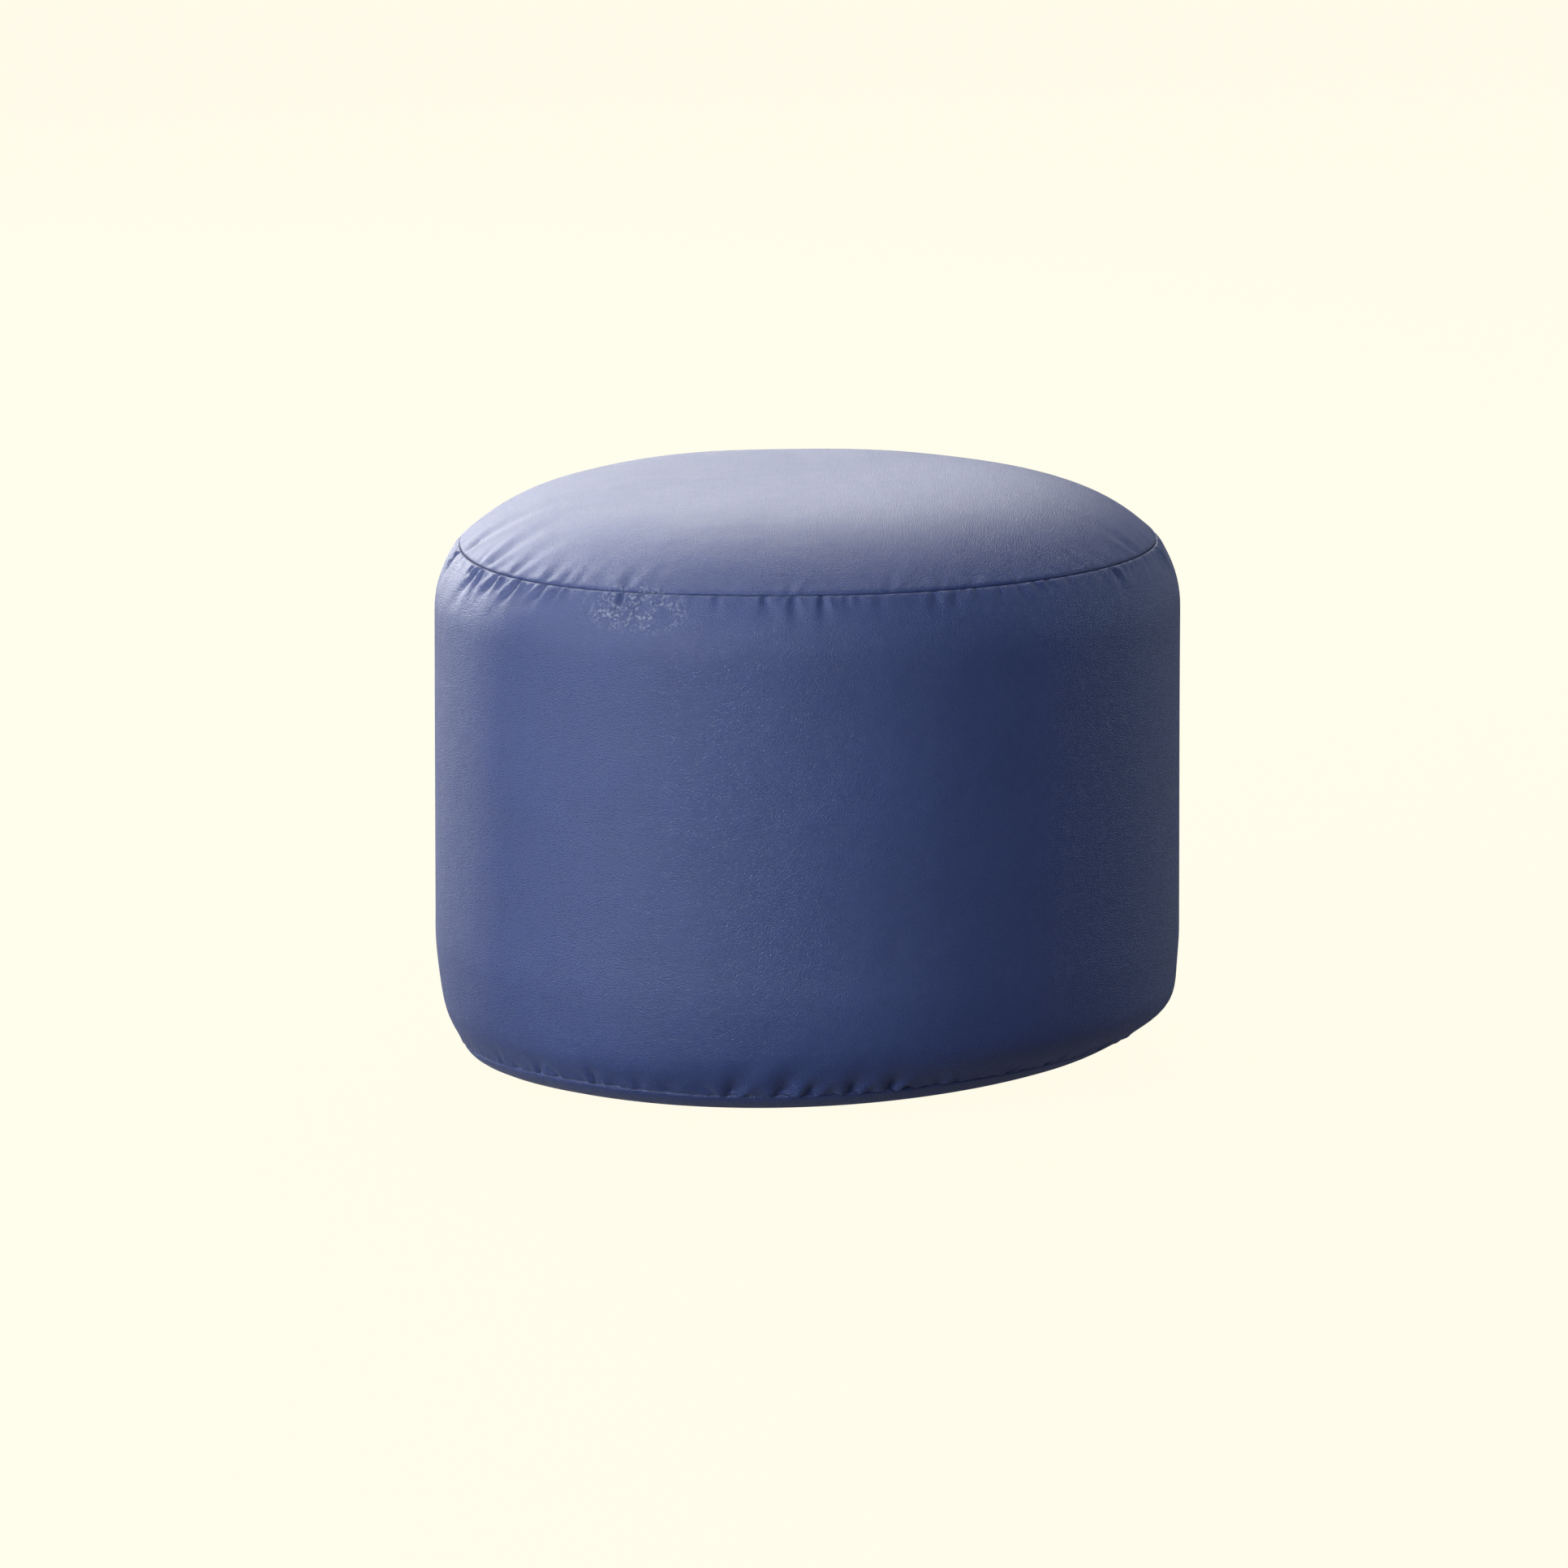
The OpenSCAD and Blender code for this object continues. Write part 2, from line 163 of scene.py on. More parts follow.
class Dressing:
    """One material under construction: its tree, its Principled surface and its nodes."""

    def __init__(self, name: str) -> None:
        """Makes an empty material with a Principled surface.

        Args:
            name: The material's name.
        """
        self.material = bpy.data.materials.new(name)
        self.material.use_nodes = True
        self.tree = self.material.node_tree
        self.tree.nodes.clear()
        self.surface = self.tree.nodes.new("ShaderNodeBsdfPrincipled")
        output = self.tree.nodes.new("ShaderNodeOutputMaterial")
        self.tree.links.new(self.surface.outputs[0], output.inputs[0])

    def node(self, kind: str, settings: dict[str, Any], sockets: dict[str, Any]) -> bpy.types.Node:
        """Adds one node.

        Args:
            kind: The node's type.
            settings: Its own settings, set before its sockets.
            sockets: A value or a Socket for each input, by name or number.

        Returns:
            The node.
        """
        node = self.tree.nodes.new(kind)
        for name, value in settings.items():
            setattr(node, name, value)
        for name, value in sockets.items():
            feed(self.tree, node.inputs[name], value)
        return node

    def out(self, node: bpy.types.Node, name: str | int = 0) -> Socket:
        """Wraps one of a node's outputs."""
        return Socket(self.tree, node.outputs[name])

    def place(self, scale: tuple[float, float, float] = (1.0, 1.0, 1.0)) -> Socket:
        """Gives the piece's own coordinates, stretched.

        Args:
            scale: The stretch along each axis.

        Returns:
            The coordinates.
        """
        coordinates = self.node("ShaderNodeTexCoord", {}, {})
        sockets = {"Vector": self.out(coordinates, "Object"), "Scale": scale}
        return self.out(self.node("ShaderNodeMapping", {}, sockets))

    def noise(self, place: Socket, size: float, detail: float = 2.0) -> Socket:
        """Adds noise.

        Args:
            place: Where it is read.
            size: The size of its lumps in metres.
            detail: How many finer layers it has.

        Returns:
            A value about 0.5.
        """
        sockets = {"Vector": place, "Scale": 1 / size, "Detail": detail, "Roughness": 0.55}
        return self.out(self.node("ShaderNodeTexNoise", {}, sockets))

    def cells(self, place: Socket, size: float, feature: str = "F1") -> Socket:
        """Adds cells.

        Args:
            place: Where they are read.
            size: The size of a cell in metres.
            feature: Which distance of the cells is wanted.

        Returns:
            The distance.
        """
        sockets = {"Vector": place, "Scale": 1 / size}
        node = self.node("ShaderNodeTexVoronoi", {"feature": feature}, sockets)
        return self.out(node, "Distance")

    def relief(self, *layers: tuple[Socket, float, float]) -> Socket:
        """Lays layers of relief over each other.

        Args:
            layers: Each layer's height from 0 to 1, how deep a height of 1 is in
                millimetres, and how much of it shows. The first is the lowest.

        Returns:
            The normal.
        """
        normal = None
        for height, depth, strength in layers:
            sockets = {"Height": height, "Distance": depth * MM, "Strength": strength}
            if normal is not None:
                sockets["Normal"] = normal
            normal = self.out(self.node("ShaderNodeBump", {}, sockets))
        return normal

    def blend(self, amount: Socket, first: Any, second: Any) -> Socket:
        """Mixes two colours.

        Args:
            amount: 0 for the first colour and 1 for the second.
            first: The first colour.
            second: The second colour.

        Returns:
            The mixed colour.
        """
        sockets = dict(zip(COLOUR_INPUTS, (amount, first, second)))
        return self.out(self.node("ShaderNodeMix", {"data_type": "RGBA"}, sockets), COLOUR_RESULT)

    def shades(self, amount: Socket, colour: Colour, dark: float, light: float) -> Socket:
        """Varies a colour's brightness.

        Args:
            amount: 0 for the dark shade and 1 for the light one.
            colour: The colour.
            dark: The dark shade's brightness as a share of the colour's.
            light: The light shade's brightness as a share of the colour's.

        Returns:
            The varied colour.
        """
        darkest, lightest = (tuple(part * gain for part in colour) for gain in (dark, light))
        return self.blend(amount, (*darkest, 1.0), (*lightest, 1.0))

    def finish(self, **sockets: Any) -> bpy.types.Material:
        """Sets the surface's sockets.

        Args:
            sockets: Values or Sockets, with _ for a space in a name.

        Returns:
            The finished material.
        """
        for name, value in sockets.items():
            feed(self.tree, self.surface.inputs[name.replace("_", " ")], value)
        return self.material


# --------------------------------------------------------------------------- finishes


@dataclass(frozen=True)
class LeatherCloth:
    """Coated leather cloth with a fine pebble grain and a soft satin sheen."""

    colour: Colour = (0.025, 0.044, 0.150)
    pebble: float = 1.5 * MM
    roughness: float = 0.43
    sheen: float = 0.12
    # A pale colour blended into the base colour as painted glint highlights, in a patch placed and sized
    # by the next two.
    painted_glint_colour: Colour = (0.30, 0.34, 0.44)
    glint_patch_middle: tuple[float, float, float] = (-0.114, -0.215, 0.3365)
    glint_patch_reach: tuple[float, float, float] = (0.046, 0.060, 0.017)

    def material(self) -> bpy.types.Material:
        """Builds the finish."""
        dressing = Dressing("navy_leather_cloth")
        place = dressing.place()
        drawn = dressing.place((1.0, 1.0, 5.0))
        warp = dressing.noise(place, 4 * self.pebble)
        bent = dressing.node(
            "ShaderNodeVectorMath",
            {"operation": "ADD"},
            {0: place, 1: warp * (0.6 * self.pebble)},
        )
        edge = dressing.cells(dressing.out(bent), self.pebble, "DISTANCE_TO_EDGE")
        pebbles = (edge * 3.2).clamped() ** 0.6
        pores = dressing.noise(place, 0.35 * MM)
        creases = dressing.noise(drawn, 9 * MM, 3.0)
        clouds = dressing.noise(place, 70 * MM, 3.0)
        wear = dressing.noise(place, 14 * MM, 4.0)
        # The glint patch is partly real, a smoother bumped rubbed patch, and partly a painted highlight
        # in the colour.
        rubbed = self.glint_patch(dressing, place)
        relief = dressing.relief(
            (clouds, 2.4, 0.6),
            (creases, 0.25, 0.5),
            (wear, 0.8, 0.6),
            (pebbles, 0.28, 0.8),
            (pores, 0.04, 0.4),
            (rubbed, 0.5, 0.9),
        )
        tone = (clouds * 0.5 + wear * 0.35 + pebbles * 0.3 - 0.2).clamped()
        skin = dressing.shades(tone, self.colour, 0.8, 1.2)
        # Painted highlight: the speckles' colour is lightened towards a pale grey-blue, standing in for
        # glints.
        skin = dressing.blend(rubbed * 0.45, skin, (*self.painted_glint_colour, 1.0))
        gloss = self.roughness + 0.07 * (wear - 0.5) + 0.06 * (1 - pebbles) + 0.05 * (clouds - 0.5)
        gloss = gloss - 0.16 * rubbed
        return dressing.finish(
            Base_Color=skin,
            Roughness=gloss,
            Normal=relief,
            IOR=1.5,
            Sheen_Weight=self.sheen,
            Sheen_Roughness=0.4,
        )

    def glint_patch(self, dressing: Dressing, place: Socket) -> Socket:
        """Speckles the small patch under the top seam that is rubbed shiny, where glint highlights are
        also painted into the colour.

        Args:
            dressing: The material so far.
            place: The piece's own coordinates.

        Returns:
            1 on the speckles and 0 elsewhere; the speckles are smoother and bumped, and are painted pale
            as glints.
        """
        scale = tuple(1 / reach for reach in self.glint_patch_reach)
        shift = tuple(-c / reach for c, reach in zip(self.glint_patch_middle, self.glint_patch_reach))
        local = dressing.node(
            "ShaderNodeMapping", {}, {"Vector": place, "Scale": scale, "Location": shift}
        )
        away = dressing.node("ShaderNodeVectorMath", {"operation": "LENGTH"}, {0: dressing.out(local)})
        near = ((1 - dressing.out(away, "Value")) * 2.0).clamped()
        specks = ((dressing.noise(place, 2.2 * MM, 2.0) - 0.49) * 8).clamped()
        islands = ((dressing.noise(place, 11 * MM, 1.0) - 0.34) * 6).clamped()
        return near * specks * islands


@dataclass(frozen=True)
class SewingThread:
    """Bonded thread, twisted and a little glossy."""

    name: str = "navy_thread"
    colour: Colour = (0.012, 0.018, 0.048)

    def material(self) -> bpy.types.Material:
        """Builds the finish."""
        dressing = Dressing(self.name)
        place = dressing.place()
        fibres = dressing.noise(place, 0.25 * MM)
        lengths = dressing.noise(place, 6 * MM)
        relief = dressing.relief((fibres, 0.05, 0.6))
        skin = dressing.shades(lengths, self.colour, 0.8, 1.5)
        return dressing.finish(Base_Color=skin, Roughness=0.6 + 0.15 * fibres, Normal=relief)


@dataclass(frozen=True)
class WovenTape:
    """Tightly woven zip tape with fine ribs."""

    colour: Colour = (0.020, 0.029, 0.075)
    rib: float = 0.9 * MM

    def material(self) -> bpy.types.Material:
        """Builds the finish."""
        dressing = Dressing("navy_zip_tape")
        place = dressing.place()
        bands = {"Vector": place, "Scale": WAVE_WIDTH / self.rib, "Distortion": 0.4}
        weft, warp = (
            dressing.out(dressing.node("ShaderNodeTexWave", {"bands_direction": way}, bands), "Fac")
            for way in ("Z", "X")
        )
        weave = weft * 0.6 + warp * 0.4
        fluff = dressing.noise(place, 0.4 * MM)
        relief = dressing.relief((weave, 0.12, 0.8), (fluff, 0.06, 0.4))
        skin = dressing.shades(weave, self.colour, 0.6, 1.5)
        return dressing.finish(
            Base_Color=skin, Roughness=0.8 + 0.1 * fluff, Normal=relief, Sheen_Weight=0.2
        )


@dataclass(frozen=True)
class NylonCoil:
    """Moulded nylon filament, smooth and a little glossy."""

    colour: Colour = (0.016, 0.022, 0.055)

    def material(self) -> bpy.types.Material:
        """Builds the finish."""
        dressing = Dressing("navy_nylon_coil")
        place = dressing.place()
        wear = dressing.noise(place, 3 * MM, 3.0)
        relief = dressing.relief((wear, 0.03, 0.4))
        skin = dressing.shades(wear, self.colour, 0.8, 1.6)
        return dressing.finish(Base_Color=skin, Roughness=0.26 + 0.16 * wear, Normal=relief)


@dataclass(frozen=True)
class GunmetalPlate:
    """Dark nickel plating on die-cast zinc, rubbed brighter in places."""

    colour: Colour = (0.30, 0.30, 0.32)

    def material(self) -> bpy.types.Material:
        """Builds the finish."""
        dressing = Dressing("gunmetal_plate")
        place = dressing.place()
        rubbed = dressing.noise(place, 2.5 * MM, 4.0)
        hairs = dressing.noise(dressing.place((1.0, 1.0, 0.08)), 0.25 * MM)
        relief = dressing.relief((rubbed, 0.05, 0.3), (hairs, 0.02, 0.5))
        skin = dressing.shades(rubbed, self.colour, 0.75, 1.35)
        return dressing.finish(
            Base_Color=skin,
            Metallic=1.0,
            Roughness=0.24 + 0.22 * rubbed + 0.05 * hairs,
            Normal=relief,
        )


@dataclass(frozen=True)
class LinerCloth:
    """Plain pale lining cloth with an open point-bonded weave."""

    colour: Colour = (0.78, 0.77, 0.73)
    dimple: float = 1.6 * MM

    def material(self) -> bpy.types.Material:
        """Builds the finish."""
        dressing = Dressing("pale_liner_cloth")
        place = dressing.place()
        dimples = (dressing.cells(place, self.dimple) * 1.5).clamped()
        fibres = dressing.noise(place, 0.6 * MM, 3.0)
        clouds = dressing.noise(place, 30 * MM, 2.0)
        relief = dressing.relief((dimples, 0.15, 0.6), (fibres, 0.08, 0.5))
        skin = dressing.shades(clouds * 0.6 + dimples * 0.3, self.colour, 0.88, 1.06)
        return dressing.finish(
            Base_Color=skin, Roughness=0.82 + 0.1 * fibres, Normal=relief, Sheen_Weight=0.1
        )


@dataclass(frozen=True)
class FoamBeads:
    """Loose white beads, packed against each other."""

    colour: Colour = (0.90, 0.90, 0.89)
    bead: float = 4.0 * MM

    def material(self) -> bpy.types.Material:
        """Builds the finish."""
        dressing = Dressing("white_foam_beads")
        place = dressing.place()
        balls = (1 - dressing.cells(place, self.bead) ** 2 * 1.6).clamped()
        skinny = dressing.noise(place, 0.8 * MM)
        relief = dressing.relief((balls, 1.6, 1.0), (skinny, 0.05, 0.4))
        # Painted shade: the white colour darkens towards the gaps between the beads.
        skin = dressing.shades(balls, self.colour, 0.55, 1.0)
        return dressing.finish(Base_Color=skin, Roughness=0.5 + 0.15 * skinny, Normal=relief)


@dataclass(frozen=True)
class PalePaper:
    """The studio floor's and wall's warm white paper, lit through as a light table is."""

    colour: Colour = (0.014, 0.0135, 0.012)
    glow: Colour = (1.0, 0.96, 0.818)

    def material(self) -> bpy.types.Material:
        """Builds the finish."""
        dressing = Dressing("warm_white_paper")
        fibres = dressing.noise(dressing.place(), 2.0, 2.0)
        skin = dressing.shades(fibres, self.colour, 0.995, 1.005)
        return dressing.finish(
            Base_Color=skin,
            Roughness=0.95,
            Specular_IOR_Level=0.0,
            Emission_Color=(*self.glow, 1.0),
            Emission_Strength=1.0,
        )


# --------------------------------------------------------------------------- mesh helpers


def shown(name: str, form: bmesh.types.BMesh, finish: bpy.types.Material) -> bpy.types.Object:
    """Makes a piece of a finished bmesh.

    Args:
        name: The piece's name.
        form: Its shape, which is freed.
        finish: Its material.

    Returns:
        The piece, in the scene.
    """
    mesh = bpy.data.meshes.new(name)
    form.to_mesh(mesh)
    form.free()
    mesh.materials.append(finish)
    mesh.shade_smooth()
    piece = bpy.data.objects.new(name, mesh)
    bpy.context.scene.collection.objects.link(piece)
    return piece


def repeated(unit: bmesh.types.BMesh, places: list[Matrix], weld: float = 0.0) -> bmesh.types.BMesh:
    """Repeats one small shape at many places.

    Args:
        unit: The shape, which is freed.
        places: Where each copy stands.
        weld: The distance within which neighbouring copies' points are merged.

    Returns:
        All the copies.
    """
    unit.verts.index_update()
    points = np.array([(*v.co, 1.0) for v in unit.verts])
    faces = [[v.index for v in f.verts] for f in unit.faces]
    unit.free()
    turned = np.concatenate([points @ np.array(place).T for place in places])[:, :3]
    count = len(points)
    kept = [[k + copy * count for k in face] for copy in range(len(places)) for face in faces]
    mesh = bpy.data.meshes.new("repeated")
    mesh.from_pydata(turned.tolist(), [], kept)
    form = bmesh.new()
    form.from_mesh(mesh)
    bpy.data.meshes.remove(mesh)
    if weld:
        bmesh.ops.remove_doubles(form, verts=form.verts, dist=weld)
    return form


def outwards(form: bmesh.types.BMesh) -> None:
    """Merges doubled points and turns every face outwards."""
    bmesh.ops.remove_doubles(form, verts=form.verts, dist=TOUCHING)
    bmesh.ops.recalc_face_normals(form, faces=form.faces)


def rounded(form: bmesh.types.BMesh, edges: Any, by: float, segments: int = 2) -> list[Any]:
    """Rounds edges over.

    Args:
        form: The shape.
        edges: The edges.
        by: How far they are rounded.
        segments: How many steps the rounding has.

    Returns:
        The faces of the rounding.
    """
    return bmesh.ops.bevel(
        form, geom=list(edges), offset=by, affect="EDGES", segments=segments, profile=0.5, material=-1
    )["faces"]


def corners(node: str) -> tuple[Vector, Vector]:
    """A CAD node's lowest and highest corners."""
    low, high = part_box(node)
    return Vector(low), Vector(high)


def edges_of(points: list[bmesh.types.BMVert]) -> list[bmesh.types.BMEdge]:
    """Every edge that meets any of the points."""
    return list({edge for point in points for edge in point.link_edges})


def thickness_of(edge: bmesh.types.BMEdge) -> float:
    """How far an edge runs from front to back."""
    return abs(edge.verts[0].co.y - edge.verts[1].co.y)


def lengths_along(points: np.ndarray) -> np.ndarray:
    """Each point's distance along a line from its first point."""
    steps = np.linalg.norm(np.diff(points, axis=0), axis=1)
    return np.concatenate(([0.0], np.cumsum(steps)))


def fit_out(piece: bpy.types.Object, body: Body, slot: Slot, *nodes: str) -> None:
    """Rides a piece on its body and hides the nodes it stands for.

    Args:
        piece: The finished piece.
        body: The body it moves with.
        slot: Its material slot, which is not used.
        nodes: The CAD nodes that it stands for.
    """
    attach(piece, body.value)
    if nodes:
        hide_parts(*nodes)
    log.info("%s: %d faces", piece.name, len(piece.data.polygons))


def bell(distance: np.ndarray, width: float | np.ndarray) -> np.ndarray:
    """A smooth hump that is 1 at no distance and dies away over the width."""
    return np.exp(-((distance / width) ** 2))


def wrapped(angle: np.ndarray) -> np.ndarray:
    """An angle brought between minus and plus half a turn."""
    return (angle + math.pi) % FULL_TURN - math.pi


def ramp(value: np.ndarray, low: float, high: float) -> np.ndarray:
    """A smooth step from 0 at low to 1 at high."""
    t = np.clip((value - low) / (high - low), 0.0, 1.0)
    return t * t * (3 - 2 * t)


# --------------------------------------------------------------------------- the outline


@dataclass(frozen=True)
class Drum:
    """The cushion's round outline, as radius and height, worked out from the frame."""

    radius: float
    top: float
    seam_radius: float
    seam_height: float
    shoulder: float = 46 * MM
    shoulder_power: float = 2.3
    crown_power: float = 4.9
    corner_height: float = 90 * MM
    corner_inset: float = 70 * MM
    base_angle: float = math.radians(60)
    floor: float = 0.0

    @classmethod
    def from_frame(cls, wall: str, top: str, base: str, thread: str) -> "Drum":
        """Reads the driving sizes off the frame's boxes.

        Args:
            wall: The node of the side wall.
            top: The node of the top.
            base: The node of the base.
            thread: The node of the top seam's thread.

        Returns:
            The outline.
        """
        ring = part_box(thread)
        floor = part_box(base)[0][2]
        return cls(
            radius=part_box(wall)[1][0],
            top=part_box(top)[1][2],
            seam_radius=ring[1][0] + 0.9 * MM,
            seam_height=(ring[0][2] + ring[1][2]) / 2 + 0.5 * MM,
            floor=floor,
            corner_height=cls.corner_height - floor,
            corner_inset=cls.corner_inset - floor,
        )

    def crown(self) -> np.ndarray:
        """The top panel's outline, from the top seam to its centre."""
        share = np.linspace(1, 0, 400)
        rise = (self.top - self.seam_height) * (1 - share**self.crown_power)
        return np.column_stack((self.seam_radius * share, self.seam_height + rise))

    def wall(self) -> np.ndarray:
        """The side band's outline, from the top seam down to the base seam."""
        share = np.linspace(1, 0, 120)
        inset = (self.radius - self.seam_radius) * share**self.shoulder_power
        low = self.seam_height - self.shoulder
        shoulder = np.column_stack((self.radius - inset, low + self.shoulder * share))
        angle = np.linspace(0, self.base_angle, 200)
        return np.vstack((shoulder, self.corner(angle)))

    def base(self) -> np.ndarray:
        """The base panel's outline, from the base seam to its centre."""
        angle = np.linspace(self.base_angle, math.pi / 2, 120)
        return np.vstack((self.corner(angle), [[0.0, self.floor]]))

    def corner(self, angle: np.ndarray) -> np.ndarray:
        """Points of the lower corner, from 0 at the straight side to a quarter turn."""
        radius = self.radius - self.corner_inset * (1 - np.cos(angle))
        height = self.floor + self.corner_height * (1 - np.sin(angle))
        return np.column_stack((radius, height))


def along(outline: np.ndarray, stations: np.ndarray) -> np.ndarray:
    """Points at given lengths along a line.

    Args:
        outline: The line's points.
        stations: Lengths from its first point.

    Returns:
        One point for each length.
    """
    lengths = lengths_along(outline)
    return np.column_stack([np.interp(stations, lengths, column) for column in outline.T])


def length_of(outline: np.ndarray) -> float:
    """An outline's length."""
    return float(lengths_along(outline)[-1])


def graded(length: float, first: float, growth: float, largest: float) -> np.ndarray:
    """Stations from 0 to a length whose steps grow from a small first one.

    Args:
        length: The whole length.
        first: The first step.
        growth: How much each step outgrows the last.
        largest: The largest step.

    Returns:
        The stations, both ends included.
    """
    stations = [0.0]
    step = first
    while stations[-1] < length:
        stations.append(stations[-1] + step)
        step = min(step * growth, largest)
    return np.array(stations) * length / stations[-1]


# --------------------------------------------------------------------------- folds


NECK = 0.55  # a fold's width at its seam, as a share of its own width
FLARE = 0.9  # how much wider it is at its length's end
FLARED = 1.5  # where it stops widening, in lengths
RIDGE_HEIGHT = 0.55  # the ridges on both sides of it, as a share of its depth
RIDGE_AWAY = 1.7  # how far out the ridges lie, in widths
ONSET = 0.12  # how soon it reaches its depth, in lengths
FADE = 0.75  # how soon it dies away, in lengths
FOLD_LENGTHS = 2  # beyond so many lengths it is gone
FOLD_WIDTHS = 6  # beyond so many widths it is gone


@dataclass(frozen=True)
class Fold:
    """One pucker or fold that runs away from a seam.

    The azimuth is in degrees from the front, towards the cushion's right as it is faced.
    The length, width and depth are in millimetres, and the lean is a slope.
    """

    azimuth: float
    length: float
    width: float
    depth: float
    lean: float = 0.0

    def relief(self, angle: np.ndarray, away: np.ndarray, radius: float) -> np.ndarray:
        """How far the fold moves the cloth outwards.

        Args:
            angle: Each point's azimuth in radians.
            away: Each point's distance from the seam.
            radius: The seam's radius.

        Returns:
            The move, mostly inwards, with a low ridge on each side.
        """
        across = wrapped(angle - math.radians(self.azimuth)) * radius - self.lean * away
        reach = np.clip(away / (self.length * MM), 0, None)
        across = across / (self.width * MM * (NECK + FLARE * np.minimum(reach, FLARED)))
        valley = RIDGE_HEIGHT * bell(np.abs(across) - RIDGE_AWAY, 1) - bell(across, 1)
        return self.depth * MM * valley * np.minimum(reach / ONSET, 1.0) * bell(reach, FADE)


@dataclass(frozen=True)
class Gathers:
    """A ring of many irregular folds along one seam, the same on every run.

    The spacing and the ranges of length, width and depth are in millimetres.
    """

    seed: int
    spacing: float
    length: tuple[float, float]
    width: tuple[float, float]
    depth: tuple[float, float]
    lean: float
    shallowness: float = 1.6
    closest: float = 0.35
    spread: float = 1.3

    def between(self, ends: tuple[float, float], share: float) -> float:
        """A value at a share of the way between two."""
        return ends[0] + (ends[1] - ends[0]) * share

    def folds(self, radius: float) -> list[Fold]:
        """Lays the folds round a seam.

        Args:
            radius: The seam's radius.

        Returns:
            The folds.
        """
        rng = np.random.default_rng(self.seed)
        laid: list[Fold] = []
        place = 0.0
        while place < FULL_TURN * radius:
            strength = rng.random() ** self.shallowness
            laid.append(
                Fold(
                    azimuth=math.degrees(place / radius) - 180,
                    length=self.between(self.length, rng.random()),
                    width=self.between(self.width, rng.random()),
                    depth=self.between(self.depth, strength),
                    lean=self.lean * rng.normal(),
                )
            )
            place += self.spacing * MM * (self.closest + self.spread * rng.random())
        return laid


@dataclass(frozen=True)
class Slump:
    """A broad sag or swelling, shared by the cover and what fills it.

    The azimuth and span are in degrees, the rest in millimetres.
    """

    azimuth: float
    span: float
    height: float
    reach: float
    out: float
    up: float

    def move(self, radius: np.ndarray, height: np.ndarray, angle: np.ndarray) -> np.ndarray:
        """How far it moves points of the outline.

        Args:
            radius: Each point's radius as a share of the cushion's.
            height: Each point's height.
            angle: Each point's azimuth in radians.

        Returns:
            The change of radius and height.
        """
        across = np.degrees(wrapped(angle - math.radians(self.azimuth)))
        weight = bell(across, self.span) * bell(height / MM - self.height, self.reach) * radius**2
        return np.outer(weight, (self.out * MM, self.up * MM))


# --------------------------------------------------------------------------- sewn drums


class Panel(Enum):
    """A sewn drum's three panels."""

    TOP = "top"
    SIDE = "side"
    BASE = "base"


